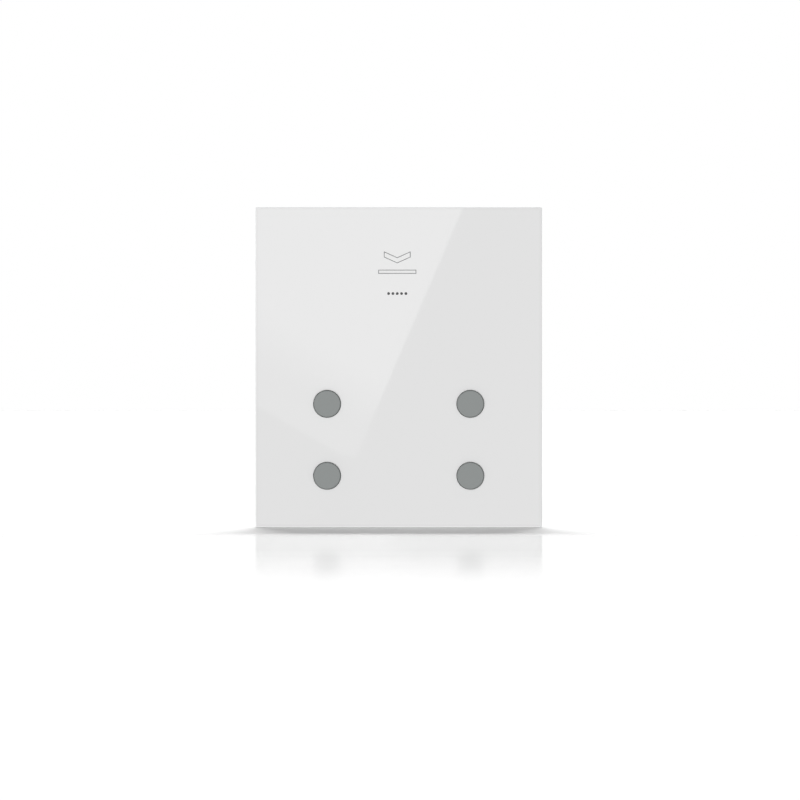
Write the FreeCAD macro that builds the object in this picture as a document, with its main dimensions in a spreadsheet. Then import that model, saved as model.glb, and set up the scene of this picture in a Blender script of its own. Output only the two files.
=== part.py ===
import FreeCAD, Part
import math
import os
import re

import Sketcher

# Card-holder wall switch with four pushbuttons.
#
# X runs to the right, Z up, and the front looks along -Y. The origin lies on the wall surface,
# at the centre of the wall box screws. Depths are given as distances forward of the wall, so a
# depth of 15 is the plane y = -15 and a negative depth is inside the wall.
# Lengths are in millimetres and angles in degrees.

SIZES = {
    # Glass panel
    "panel_width": 86.0,
    "panel_height": 96.0,
    "panel_corner": 0.4,
    "glass_thick": 3.0,
    "glass_bevel": 0.25,
    "tape_thick": 0.4,
    "tape_inset": 1.2,
    "tape_border": 8.0,
    "tape_bar": 6.0,
    "tape_clear": 1.0,
    # Buttons
    "button_pitch_x": 43.0,
    "button_pitch_z": 21.6,
    "lower_row_height": 15.4,
    "button_diameter": 8.1,
    "button_proud": 0.8,
    "button_travel": 0.7,
    "button_edge": 0.25,
    "glass_clear": 0.15,
    "guide_clear": 0.1,
    "rest_gap": 0.05,
    "flange_lip": 1.45,
    "flange_thick": 1.0,
    # Tactile switches and their board
    "switch_side": 6.0,
    "switch_thick": 2.5,
    "switch_floor": 0.8,
    "leg_reach": 0.9,
    "leg_width": 0.7,
    "leg_pitch": 4.4,
    "leg_thick": 0.3,
    "plunger_half": 1.3,
    "plunger_spare": 0.55,
    "plunger_clear": 0.08,
    "plunger_depth": 0.9,
    "board_thick": 1.2,
    "board_gap": 1.6,
    "board_clear": 0.35,
    "board_drop": 0.4,
    "board_edge": 2.9,
    "board_screw_inset": 2.8,
    "board_boss_half": 2.35,
    "notch_half": 10.0,
    "notch_spare": 1.2,
    # Front carrier
    "carrier_thick": 1.6,
    "carrier_clear": 0.2,
    "carrier_corner": 0.8,
    "collar_wall": 1.2,
    "collar_lift": 0.2,
    "collar_gap": 1.0,
    "boss_half": 2.75,
    "corner_inset": 3.0,
    "rib_reach": 3.2,
    "rib_thick": 1.0,
    # Card pocket
    "card_width": 54.0,
    "card_clear": 0.5,
    "pocket_gap": 1.6,
    "guide_thick": 1.2,
    "guide_edge": 0.1,
    "rail_width": 3.5,
    "stop_height": 1.6,
    "lug_half": 2.5,
    "lug_rise": 21.0,
    "window_below": 3.1,
    "window_above": 5.1,
    "mouth_flare": 0.6,
    "mouth_clear": 0.2,
    # Card lever and its microswitch
    "pivot_rise": 23.2,
    "pin_radius": 0.6,
    "pin_clear": 0.06,
    "pin_seat": 0.02,
    "hub_radius": 1.5,
    "lever_gap": 0.2,
    "lever_thick": 1.2,
    "lever_width": 4.8,
    "lever_length": 15.4,
    "lever_swing": 7.0,
    "nose_width": 3.0,
    "nose_drop": 12.7,
    "nose_gap": 0.15,
    "nose_tip": 0.4,
    "nose_ramp": 3.7,
    "nose_foot": 1.9,
    "window_clear": 0.4,
    "plunger_drop": 9.0,
    "cheek_gap": 0.6,
    "cheek_thick": 1.4,
    "cheek_below": 1.0,
    "cheek_above": 0.6,
    "cheek_behind": 1.8,
    "cheek_neck": 2.6,
    "cheek_top": 2.2,
    "sensor_width": 5.8,
    "sensor_length": 12.8,
    "sensor_height": 6.5,
    "sensor_above": 4.8,
    "sensor_gap": 0.5,
    "sensor_pitch": 6.5,
    "sensor_hole_depth": 4.4,
    "sensor_hole_radius": 1.05,
    "sensor_hole_clear": 0.08,
    "blade_pitch": 4.6,
    "blade_thick": 0.5,
    "blade_width": 1.6,
    "blade_length": 3.2,
    "sensor_stem_radius": 0.8,
    "sensor_stem_clear": 0.05,
    "sensor_stem_hidden": 0.7,
    "sensor_bore_spare": 0.2,
    "sensor_rest_gap": 0.15,
    "sensor_travel": 1.1,
    # Base housing
    "housing_inset": 1.0,
    "housing_corner": 1.2,
    "skirt_wall": 1.6,
    "floor_thick": 1.4,
    "well_depth": 1.8,
    "well_radius": 3.1,
    "well_wall": 1.3,
    "box_wall": 1.6,
    "box_depth": 29.0,
    "box_corner": 2.0,
    "post_half": 2.8,
    "snap_reach": 0.8,
    "snap_width": 5.0,
    "snap_at": 13.0,
    "snap_slope": 1.6,
    "snap_face": 0.6,
    "screw_window": 9.4,
    # Mounting frame
    "frame_thick": 1.0,
    "frame_corner": 4.0,
    "frame_side_play": 0.05,
    "frame_drop": 7.0,
    "screw_spacing": 60.3,
    "slot_width": 4.4,
    "slot_length": 7.0,
    "slot_web": 1.65,
    "aperture_clear": 1.0,
    "hook_at": 20.0,
    "hook_width": 8.0,
    "hook_drop": 4.0,
    "hook_lip": 2.0,
    "hook_clear": 0.3,
    "hook_play": 0.4,
    "hook_seat": 0.05,
    "hook_relief": 0.5,
    "lock_tab_width": 16.0,
    "lock_tab_edge": 0.7,
    "lock_radius": 1.45,
    "lock_clear": 0.35,
    "lock_length": 6.5,
    "lock_boss": 1.8,
    "lock_boss_half": 4.5,
    "lock_boss_rise": 3.2,
    "lock_head_clear": 0.2,
    # Relay board and what stands on it
    "relay_board_depth": 19.0,
    "relay_board_thick": 1.4,
    "relay_board_clear": 0.2,
    "relay_width": 15.5,
    "relay_length": 19.0,
    "relay_tall": 15.3,
    "relay_low": 2.5,
    "relay_edge": 0.6,
    "supply_width": 14.0,
    "supply_length": 17.5,
    "supply_tall": 14.0,
    "supply_low": 1.0,
    "supply_edge": 0.8,
    "block_margin": 1.4,
    "capacitor_radius": 4.0,
    "capacitor_tall": 12.0,
    "capacitor_inset": 8.4,
    "varistor_radius": 3.5,
    "varistor_thick": 3.0,
    "varistor_lift": 1.5,
    "varistor_left": 4.5,
    "lead_pitch": 4.4,
    "lead_side": 0.7,
    "lower_inset": 10.4,
    "header_x": 7.0,
    "header_inset": 5.4,
    "pin_pitch": 2.54,
    "pin_side": 0.64,
    "socket_tall": 8.5,
    "socket_entry": 4.0,
    "socket_clear": 0.1,
    "socket_spare": 0.5,
    "header_tall": 9.0,
    # Terminals and rear cover
    "terminal_pitch": 5.08,
    "terminal_deep": 10.0,
    "terminal_cavity": 4.0,
    "terminal_cavity_at": 4.2,
    "terminal_floor": 1.6,
    "terminal_slope": 1.5,
    "terminal_length": 2.6,
    "clamp_side": 3.7,
    "clamp_wall": 0.6,
    "clamp_play": 0.2,
    "cover_thick": 1.4,
    "cut_clear": 0.3,
    "vent_width": 1.6,
    "vent_length": 13.0,
    "vent_pitch": 4.4,
    "vent_start": 6.0,
    # Screws
    "small_head": 1.9,
    "small_head_tall": 1.2,
    "small_shank": 0.85,
    "small_hole": 0.9,
    "small_length": 4.0,
    "large_head": 2.7,
    "large_head_tall": 1.5,
    "large_shank": 1.25,
    "large_hole": 1.3,
    "large_length": 6.2,
    "hole_clear": 0.2,
    "thread_clear": 0.05,
    "pilot_spare": 0.2,
    "pilot_floor": 0.4,
    # How far a form sinks into what carries it, and a cut runs past a surface
    "root": 0.2,
    "cut_over": 0.5,
}

# Levels and distances that follow from the sizes.
PLACES = {
    # Depths from the wall forward
    "floor_front": "frame_thick + floor_thick",
    "board_back": "floor_front + board_gap",
    "board_front": "board_back + board_thick",
    "switch_front": "board_front + switch_thick",
    "plunger_front": "switch_front + button_travel + plunger_spare",
    "flange_back": "plunger_front",
    "flange_front": "flange_back + flange_thick",
    "carrier_back": "flange_front + rest_gap",
    "carrier_front": "carrier_back + carrier_thick",
    "glass_back": "carrier_front + tape_thick",
    "glass_front": "glass_back + glass_thick",
    "cap_front": "glass_front + button_proud",
    "guide_front": "carrier_back - pocket_gap",
    "guide_back": "guide_front - guide_thick",
    "arm_front": "guide_back - lever_gap",
    "arm_back": "arm_front - lever_thick",
    "pivot_depth": "arm_front - hub_radius",
    "nose_front": "carrier_back - nose_gap",
    "sensor_front": "arm_back - lever_length * sin(lever_swing) - sensor_gap",
    "sensor_back": "sensor_front - sensor_height",
    "sensor_hole": "sensor_front - sensor_hole_depth",
    "stem_tip": "arm_back - sensor_rest_gap",
    "stem_end": "sensor_front - sensor_stem_hidden",
    "well_front": "frame_thick + well_depth + floor_thick",
    "relay_board_back": "relay_board_depth + relay_board_thick",
    "cover_back": "box_depth + cover_thick",
    # Outlines
    "half_width": "panel_width / 2",
    "half_height": "panel_height / 2",
    "tray_x": "half_width - housing_inset",
    "tray_z": "half_height - housing_inset",
    "inner_x": "tray_x - skirt_wall",
    "inner_z": "tray_z - skirt_wall",
    "carrier_x": "inner_x - carrier_clear",
    "carrier_z": "inner_z - carrier_clear",
    "tape_x": "carrier_x - tape_inset",
    "tape_z": "carrier_z - tape_inset",
    "boss_x": "carrier_x - corner_inset",
    "boss_z": "carrier_z - corner_inset",
    "aperture": "screw_spacing / 2 - slot_length / 2 - slot_web",
    "box_half": "aperture - aperture_clear",
    "box_inner": "box_half - box_wall",
    "post_at": "box_inner - post_half",
    "frame_x": "(screw_spacing / 2 + slot_length / 2 + inner_x - frame_side_play) / 2",
    "frame_z": "half_height - frame_drop",
    "hook_z": "frame_z - hook_drop",
    "lock_depth": "floor_front + lock_radius + lock_clear",
    "lock_seat": "skirt_wall + root - tray_z",
    # Buttons and their collars
    "button_x": "button_pitch_x / 2",
    "lower_row": "lower_row_height - half_height",
    "upper_row": "lower_row + button_pitch_z",
    "button_radius": "button_diameter / 2",
    "flange_half": "button_radius + flange_lip",
    "collar_inner": "flange_half + guide_clear",
    "collar_outer": "collar_inner + collar_wall",
    # Card pocket, lever and sensor
    "guide_bottom": "upper_row + collar_outer + collar_gap",
    "guide_top": "inner_z - guide_edge",
    "pocket_x": "card_width / 2 + card_clear",
    "rail_x": "pocket_x + rail_width",
    "lug_x": "rail_x + lug_half",
    "lug_z": "guide_bottom + lug_rise",
    "pivot_z": "guide_bottom + pivot_rise",
    "arm_end": "pivot_z - lever_length",
    "nose_z": "pivot_z - nose_drop",
    "stem_z": "pivot_z - plunger_drop",
    "sensor_top": "stem_z + sensor_above",
    "sensor_bottom": "sensor_top - sensor_length",
    "sensor_middle": "(sensor_top + sensor_bottom) / 2",
    "cheek_back": "sensor_hole - cheek_behind",
    "cheek_inner": "lever_width / 2 + cheek_gap",
    "cheek_outer": "cheek_inner + cheek_thick",
    # Boards
    "board_x": "boss_x - well_radius - well_wall - board_clear",
    "board_top": "guide_bottom - board_drop",
    "board_bottom": "board_edge - inner_z",
    "board_screw_x": "board_x - board_screw_inset",
    "board_screw_z": "(upper_row + lower_row) / 2",
    "notch_top": "lock_length + lock_boss - inner_z + notch_spare",
    "relay_board_half": "box_inner - relay_board_clear",
    "header_z": "header_inset - box_inner",
    "terminal_x": "3 * terminal_pitch",
    "terminal_top": "terminal_deep - box_half",
    "terminal_screw_z": "terminal_deep / 2 - box_half",
    "cavity_depth": "relay_board_back + terminal_cavity_at",
    "cavity_back": "cavity_depth + terminal_cavity / 2",
    "terminal_half": "terminal_x + cut_clear",
    "terminal_well": "small_head / cos(22.5) + socket_clear",
    # Screws in plastic
    "guide_pilot": "pocket_gap + carrier_thick - pilot_floor",
    "guide_length": "guide_thick + guide_pilot - pilot_spare",
    "small_passage": "small_shank + hole_clear",
}

doc = FreeCAD.newDocument("CardSwitch")
sheet = doc.addObject("Spreadsheet::Sheet", "Sizes")
for row, (name, size) in enumerate(SIZES.items(), start=1):
    sheet.set(f"A{row}", name)
    sheet.set(f"B{row}", str(size))
    sheet.setAlias(f"B{row}", name)
doc.recompute()

NODES = []


def bound(text):
    """The expression with each size's name pointing at its cell, and each place written out."""

    def swap(match):
        word = match[0]
        if word in SIZES:
            return "Sizes." + word
        if word in PLACES:
            return "(" + bound(PLACES[word]) + ")"
        return word

    return re.sub(r"[a-z][a-z_]+", swap, text)


def value(text):
    """The number that an expression comes to now."""
    return float(sheet.evalExpression(bound(text)))


def bind(thing, prop, text):
    thing.setExpression(prop, bound(text))


def minus(text):
    return f"-({text})"


def corners(x, z):
    """The four places at plus and minus x and z."""
    return [(x, z), (minus(x), z), (minus(x), minus(z)), (x, minus(z))]


# Bodies, sketches and features


def node(thing):
    """Counts a finished piece as one of the part's nodes."""
    NODES.append(thing)
    return thing


def new_body(label):
    body = doc.addObject("PartDesign::Body", label)
    body.Label = label
    doc.recompute()
    return body


def new_sketch(body, name, offset="0", plane="XZ_Plane"):
    """A sketch on one of the body's own origin planes, offset along the plane's normal.

    On XZ_Plane the offset is the depth forward of the wall, and the sketch sees X and Z.
    """
    sketch = body.newObject("Sketcher::SketchObject", name)
    origin = next(f for f in body.Origin.OriginFeatures if f.Role == plane)
    sketch.AttachmentSupport = [(origin, "")]
    sketch.MapMode = "FlatFace"
    bind(sketch, "AttachmentOffset.Base.z", offset)
    return sketch


def dimension(sketch, kind, *what):
    """A driving dimension bound to the expression that comes last."""
    index = sketch.addConstraint(Sketcher.Constraint(kind, *what[:-1], value(what[-1])))
    bind(sketch, f"Constraints[{index}]", what[-1])


def polygon(sketch, points):
    """A closed outline whose corners sit at the given pairs of expressions."""
    first = sketch.GeometryCount
    places = [FreeCAD.Vector(value(x), value(y), 0) for x, y in points]
    count = len(places)
    for i in range(count):
        sketch.addGeometry(Part.LineSegment(places[i], places[(i + 1) % count]), False)
    for i in range(count):
        following = first + (i + 1) % count
        sketch.addConstraint(Sketcher.Constraint("Coincident", first + i, 2, following, 1))
    for i, (x, y) in enumerate(points):
        dimension(sketch, "DistanceX", -1, 1, first + i, 1, x)
        dimension(sketch, "DistanceY", -1, 1, first + i, 1, y)


def rectangle(sketch, left, bottom, right, top):
    polygon(sketch, [(left, bottom), (right, bottom), (right, top), (left, top)])


def circle(sketch, x, y, radius):
    place = FreeCAD.Vector(value(x), value(y), 0)
    ring = sketch.addGeometry(
        Part.Circle(place, FreeCAD.Vector(0, 0, 1), value(radius)), False
    )
    dimension(sketch, "DistanceX", -1, 1, ring, 3, x)
    dimension(sketch, "DistanceY", -1, 1, ring, 3, y)
    dimension(sketch, "Radius", ring, radius)


def arc(x, y, radius, start):
    """A quarter circle that starts at the given angle."""
    full = Part.Circle(FreeCAD.Vector(x, y, 0), FreeCAD.Vector(0, 0, 1), radius)
    return Part.ArcOfCircle(full, math.radians(start), math.radians(start + 90))


def octagon(sketch, x, y, radius):
    """Eight equal sides about (x, y), with the corners at the given radius."""
    points = []
    for angle in range(0, 360, 45):
        points.append((f"{x} + ({radius}) * cos({angle})", f"{y} + ({radius}) * sin({angle})"))
    polygon(sketch, points)


def square(sketch, x, y, half):
    rectangle(sketch, f"{x} - ({half})", f"{y} - ({half})", f"{x} + {half}", f"{y} + {half}")


def rounded(sketch, half_x, half_y, radius):
    """A rectangle about the sketch's origin with four equal round corners."""
    a, b, q = value(half_x), value(half_y), value(radius)
    n = sketch.GeometryCount
    spot = FreeCAD.Vector
    sides = [
        (spot(q - a, -b, 0), spot(a - q, -b, 0)),
        (spot(a, q - b, 0), spot(a, b - q, 0)),
        (spot(a - q, b, 0), spot(q - a, b, 0)),
        (spot(-a, b - q, 0), spot(-a, q - b, 0)),
    ]
    for start, end in sides:
        sketch.addGeometry(Part.LineSegment(start, end), False)
    for x, y, turn in ((a, -b, -90), (a, b, 0), (-a, b, 90), (-a, -b, 180)):
        middle_x = x - math.copysign(q, x)
        middle_y = y - math.copysign(q, y)
        sketch.addGeometry(arc(middle_x, middle_y, q, turn), False)
    for i in range(4):
        sketch.addConstraint(Sketcher.Constraint("Tangent", n + i, 2, n + 4 + i, 1))
        sketch.addConstraint(Sketcher.Constraint("Tangent", n + 4 + i, 2, n + (i + 1) % 4, 1))
        direction = "Vertical" if i % 2 else "Horizontal"
        sketch.addConstraint(Sketcher.Constraint(direction, n + i))
    for i in (5, 6, 7):
        sketch.addConstraint(Sketcher.Constraint("Equal", n + 4, n + i))
    dimension(sketch, "Radius", n + 4, radius)
    dimension(sketch, "DistanceY", -1, 1, n, 1, minus(half_y))
    dimension(sketch, "DistanceX", -1, 1, n + 1, 1, half_x)
    dimension(sketch, "DistanceY", -1, 1, n + 2, 1, half_y)
    dimension(sketch, "DistanceX", -1, 1, n + 3, 1, minus(half_x))


def slot(sketch, x, y, length, width, upright=False):
    """A slot with round ends about (x, y), lying along the sketch's X or standing along its Y."""
    run, q = value(f"({length} - {width}) / 2"), value(f"{width} / 2")
    n = sketch.GeometryCount
    middle = FreeCAD.Vector(value(x), value(y), 0)
    along = FreeCAD.Vector(0, 1, 0) if upright else FreeCAD.Vector(1, 0, 0)
    across = FreeCAD.Vector(-along.y, along.x, 0)
    tilt = 90 if upright else 0
    ends = (middle + along * run, middle - along * run)
    for sign, end in zip((1, -1), ends):
        full = Part.Circle(end, FreeCAD.Vector(0, 0, 1), q)
        start = math.radians(tilt - 90 * sign)
        sketch.addGeometry(Part.ArcOfCircle(full, start, start + math.pi), False)
    sketch.addGeometry(Part.LineSegment(ends[0] + across * q, ends[1] + across * q), False)
    sketch.addGeometry(Part.LineSegment(ends[1] - across * q, ends[0] - across * q), False)
    for one, other in ((n, n + 2), (n + 2, n + 1), (n + 1, n + 3), (n + 3, n)):
        sketch.addConstraint(Sketcher.Constraint("Tangent", one, 2, other, 1))
    sketch.addConstraint(Sketcher.Constraint("Equal", n, n + 1))
    dimension(sketch, "Radius", n, f"{width} / 2")
    for end, sign in ((n, "+"), (n + 1, "-")):
        shift = f" {sign} ({length} - {width}) / 2"
        dimension(sketch, "DistanceX", -1, 1, end, 3, x if upright else x + shift)
        dimension(sketch, "DistanceY", -1, 1, end, 3, y + shift if upright else y)


def pad(body, sketch, length, reverse=False, middle=False):
    """Adds material along the sketch's normal, which is forward for XZ_Plane."""
    feature = body.newObject("PartDesign::Pad", sketch.Name + "Pad")
    feature.Profile = sketch
    bind(feature, "Length", length)
    feature.Reversed = reverse
    if middle:
        feature.Midplane = True
    doc.recompute()
    return feature


def pocket(body, sketch, length, reverse=False, middle=False):
    """Takes material away against the sketch's normal, which is back for XZ_Plane."""
    before = body.Shape.Volume
    feature = body.newObject("PartDesign::Pocket", sketch.Name + "Pocket")
    feature.Profile = sketch
    bind(feature, "Length", length)
    feature.Reversed = reverse
    if middle:
        feature.Midplane = True
    doc.recompute()
    if not body.Shape.Volume < before - 1e-6:
        raise RuntimeError(f"{body.Label}: {sketch.Name} cuts nothing")
    return feature


def chamfer(body, size, wanted):
    """Bevels the edges of the body's last feature that the test picks."""
    last = body.Tip
    names = [f"Edge{i}" for i, edge in enumerate(last.Shape.Edges, start=1) if wanted(edge)]
    if not names:
        raise RuntimeError(f"{body.Label}: no edge to bevel")
    feature = body.newObject("PartDesign::Chamfer", "Bevel")
    feature.Base = (last, names)
    bind(feature, "Size", size)
    doc.recompute()
    return feature


def at_depth(edge, depth):
    """Whether an edge lies in the plane at the given depth."""
    box = edge.BoundBox
    y = -value(depth)
    return abs(box.YMin - y) < 1e-4 and abs(box.YMax - y) < 1e-4


def runs_back(edge):
    """Whether an edge is a straight line along Y."""
    if not isinstance(edge.Curve, Part.Line):
        return False
    return abs(abs(edge.tangentAt(edge.FirstParameter).y) - 1) < 1e-6


def is_hole_rim(edge):
    """Whether an edge is a whole circle."""
    return isinstance(edge.Curve, Part.Circle) and edge.isClosed()


def place(thing, x="0", y="0", z="0"):
    for axis, text in zip("xyz", (x, y, z)):
        bind(thing, f"Placement.Base.{axis}", text)


def group(label, pattern, places, turn=None):
    """One node of equal pieces: links to the pattern at (x, y, z) expressions."""
    links = []
    for x, y, z in places:
        link = doc.addObject("App::Link", f"{label}_item")
        link.LinkedObject = pattern
        if turn:
            link.Placement = FreeCAD.Placement(FreeCAD.Vector(), turn)
        place(link, x, y, z)
        links.append(link)
    whole = doc.addObject("Part::Compound", label)
    whole.Label = label
    whole.Links = links
    doc.recompute()
    return node(whole)


# Turns that point a screw, modelled along +Y, another way
TO_FRONT = FreeCAD.Rotation(FreeCAD.Vector(0, 0, 1), 180)
TO_RIGHT = FreeCAD.Rotation(FreeCAD.Vector(0, 0, 1), -90)
TO_TOP = FreeCAD.Rotation(FreeCAD.Vector(1, 0, 0), 90)


def screw(name, head, tall, shank, length):
    """A cheese-head screw along +Y, its head's seat at y = 0 and its thread's core eight-sided."""
    body = new_body(name)
    top = new_sketch(body, name + "Head")
    circle(top, "0", "0", head)
    pad(body, top, tall)
    core = new_sketch(body, name + "Core")
    octagon(core, "0", "0", shank)
    pad(body, core, length, reverse=True)
    return body


BUTTONS = [
    ("1", "-button_x", "upper_row"),
    ("2", "button_x", "upper_row"),
    ("3", "-button_x", "lower_row"),
    ("4", "button_x", "lower_row"),
]


# Front unit


def make_glass_panel():
    """Toughened glass plate with a polished front arris and four round holes."""
    body = new_body("glass_panel")
    outline = new_sketch(body, "GlassOutline", "glass_back")
    rounded(outline, "half_width", "half_height", "panel_corner")
    pad(body, outline, "glass_thick")
    chamfer(body, "glass_bevel", lambda e: at_depth(e, "glass_front"))
    holes = new_sketch(body, "GlassHoles", "glass_front")
    for _, x, z in BUTTONS:
        circle(holes, x, z, "button_radius + glass_clear")
    pocket(body, holes, "glass_thick")
    return node(body)


def make_panel_tape():
    """Foam tape that bonds the glass to the carrier: a border and a cross bar."""
    body = new_body("panel_tape")
    strips = new_sketch(body, "TapeStrips", "carrier_front")
    rectangle(strips, "-tape_x", "-tape_z", "tape_x", "tape_z")
    side = "tape_x - tape_border"
    bar = "upper_row + collar_outer"
    rectangle(strips, minus(side), "lower_row - button_radius - tape_clear", side, bar)
    rectangle(strips, minus(side), f"{bar} + tape_bar", side, "tape_z - tape_border")
    pad(body, strips, "tape_thick")
    return node(body)


def make_front_carrier():
    """Moulded plate with the button collars, the screw bosses and the pocket's front wall."""
    body = new_body("front_carrier")
    plate = new_sketch(body, "CarrierPlate", "carrier_back")
    rounded(plate, "carrier_x", "carrier_z", "carrier_corner")
    pad(body, plate, "carrier_thick")

    height = "carrier_back - board_front - collar_lift"
    collars = new_sketch(body, "Collars", "carrier_back")
    for _, x, z in BUTTONS:
        square(collars, x, z, "collar_outer")
    pad(body, collars, height, reverse=True)
    wells = new_sketch(body, "CollarWells", "board_front + collar_lift")
    for _, x, z in BUTTONS:
        square(wells, x, z, "collar_inner")
    pocket(body, wells, height, reverse=True)
    bores = new_sketch(body, "CapBores", "carrier_front")
    for _, x, z in BUTTONS:
        circle(bores, x, z, "button_radius + guide_clear")
    pocket(body, bores, "carrier_thick")

    far = corners("boss_x", "boss_z")
    deep = "large_length - floor_thick + pilot_spare"
    bosses(body, "Corner", far, "boss_half", "well_front", "large_hole", deep)
    near = board_screw_places()
    deep = "small_length - board_thick + pilot_spare"
    bosses(body, "Board", near, "board_boss_half", "board_front", "small_hole", deep)
    beside = guide_screw_places()
    bosses(body, "Guide", beside, "lug_half", "guide_front", "small_hole", "guide_pilot")

    ribs = new_sketch(body, "CollarRibs", "carrier_back")
    for _, x, z in BUTTONS:
        left, right = f"{x} - collar_outer", f"{x} + collar_outer"
        low, high = f"{z} - rib_thick / 2", f"{z} + rib_thick / 2"
        rectangle(ribs, f"{left} - rib_reach", low, left, high)
        rectangle(ribs, right, low, f"{right} + rib_reach", high)
    pad(body, ribs, f"({height}) / 2", reverse=True)
    return node(body)


def bosses(body, name, spots, half, end, pilot, depth):
    """Square bosses on the carrier's back that end at a depth, each with a pilot hole."""
    outline = new_sketch(body, name + "Bosses", "carrier_back")
    for x, z in spots:
        square(outline, x, z, half)
    pad(body, outline, f"carrier_back - {end}", reverse=True)
    pilots = new_sketch(body, name + "Pilots", end)
    for x, z in spots:
        octagon(pilots, x, z, pilot)
    pocket(body, pilots, depth, reverse=True)


def board_screw_places():
    return [("board_screw_x", "board_screw_z"), ("-board_screw_x", "board_screw_z")]


def guide_screw_places():
    return [("lug_x", "lug_z"), ("-lug_x", "lug_z")]


def make_button_cap(number, x, z):
    """A round cap with a square flange that keeps it in and straight."""
    body = new_body(f"button_cap_{number}")
    flange = new_sketch(body, "CapFlange", "flange_back")
    square(flange, "0", "0", "flange_half")
    pad(body, flange, "flange_thick")
    head = new_sketch(body, "CapHead", "flange_front")
    circle(head, "0", "0", "button_radius")
    pad(body, head, "cap_front - flange_front")
    chamfer(body, "button_edge", lambda e: is_hole_rim(e) and at_depth(e, "cap_front"))
    place(body, x=x, z=z)
    return node(body)


def make_switch_body(number, x, z):
    """A square tactile switch with its opening and four legs."""
    body = new_body(f"switch_body_{number}")
    block = new_sketch(body, "SwitchBlock", "board_front")
    square(block, "0", "0", "switch_side / 2")
    pad(body, block, "switch_thick")
    legs = new_sketch(body, "SwitchLegs", "board_front")
    for up in ("-1", "1"):
        middle = f"{up} * leg_pitch / 2"
        low, high = f"{middle} - leg_width / 2", f"{middle} + leg_width / 2"
        near, far = "switch_side / 2", "switch_side / 2 + leg_reach"
        rectangle(legs, minus(far), low, minus(near), high)
        rectangle(legs, near, low, far, high)
    pad(body, legs, "leg_thick")
    bore = new_sketch(body, "SwitchOpening", "switch_front")
    square(bore, "0", "0", "plunger_half + plunger_clear")
    pocket(body, bore, "switch_thick - switch_floor")
    place(body, x=x, z=z)
    return node(body)


def make_switch_plunger(number, x, z):
    """The tactile switch's square stem, which the cap rests on."""
    body = new_body(f"switch_plunger_{number}")
    stem = new_sketch(body, "PlungerSection", "switch_front - plunger_depth")
    square(stem, "0", "0", "plunger_half")
    pad(body, stem, "plunger_front - switch_front + plunger_depth")
    place(body, x=x, z=z)
    return node(body)


def make_button_board():
    """Circuit board behind the buttons, notched for the lock screw."""
    body = new_body("button_board")
    outline = new_sketch(body, "BoardOutline", "board_back")
    polygon(
        outline,
        [
            ("-board_x", "board_bottom"),
            ("-notch_half", "board_bottom"),
            ("-notch_half", "notch_top"),
            ("notch_half", "notch_top"),
            ("notch_half", "board_bottom"),
            ("board_x", "board_bottom"),
            ("board_x", "board_top"),
            ("-board_x", "board_top"),
        ],
    )
    for x, z in board_screw_places():
        octagon(outline, x, z, "small_passage")
    pad(body, outline, "board_thick")
    return node(body)


def make_card_guide():
    """Rear wall, rails and stop of the card pocket, with the cheeks that hold the sensor."""
    body = new_body("card_guide")
    plate = new_sketch(body, "GuidePlate", "guide_back")
    rectangle(plate, "-rail_x", "guide_bottom", "rail_x", "guide_top")
    pad(body, plate, "guide_thick")
    lugs = new_sketch(body, "GuideLugs", "guide_back")
    for x, z in guide_screw_places():
        square(lugs, x, z, "lug_half")
    pad(body, lugs, "guide_thick")
    rails = new_sketch(body, "GuideRails", "guide_front")
    polygon(
        rails,
        [
            ("-rail_x", "guide_bottom"),
            ("rail_x", "guide_bottom"),
            ("rail_x", "guide_top"),
            ("pocket_x", "guide_top"),
            ("pocket_x", "guide_bottom + stop_height"),
            ("-pocket_x", "guide_bottom + stop_height"),
            ("-pocket_x", "guide_top"),
            ("-rail_x", "guide_top"),
        ],
    )
    pad(body, rails, "pocket_gap")

    holes = new_sketch(body, "LugHoles", "guide_front")
    for x, z in guide_screw_places():
        octagon(holes, x, z, "small_passage")
    pocket(body, holes, "guide_thick")

    window = new_sketch(body, "NoseWindow", "guide_front")
    half = "nose_width / 2 + window_clear"
    rectangle(window, minus(half), "nose_z - window_below", half, "nose_z + window_above")
    pocket(body, window, "guide_thick")

    for name, side in (("LeftCheek", True), ("RightCheek", False)):
        cheek = new_sketch(body, name, "-cheek_inner" if side else "cheek_inner", "YZ_Plane")
        polygon(
            cheek,
            [
                ("-(guide_back + root)", "sensor_bottom - cheek_below"),
                ("-(cheek_back)", "sensor_bottom - cheek_below"),
                ("-(cheek_back)", "sensor_top + cheek_above"),
                ("-(arm_back - cheek_neck)", "sensor_top + cheek_above"),
                ("-(arm_back - cheek_neck)", "pivot_z + cheek_top"),
                ("-(guide_back + root)", "pivot_z + cheek_top"),
            ],
        )
        circle(cheek, "-(pivot_depth)", "pivot_z", "pin_radius + pin_seat")
        for z in sensor_screw_heights():
            octagon(cheek, "-(sensor_hole)", z, "sensor_hole_radius")
        pad(body, cheek, "cheek_thick", reverse=side)

    def at_mouth(edge):
        box = edge.BoundBox
        top = value("guide_top")
        long_enough = box.XLength > value("pocket_x")
        return at_depth(edge, "guide_front") and abs(box.ZMin - top) < 1e-4 and long_enough

    chamfer(body, "guide_thick / 2", at_mouth)
    return node(body)


def sensor_screw_heights():
    return [f"sensor_middle {sign} sensor_pitch / 2" for sign in ("-", "+")]


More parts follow.
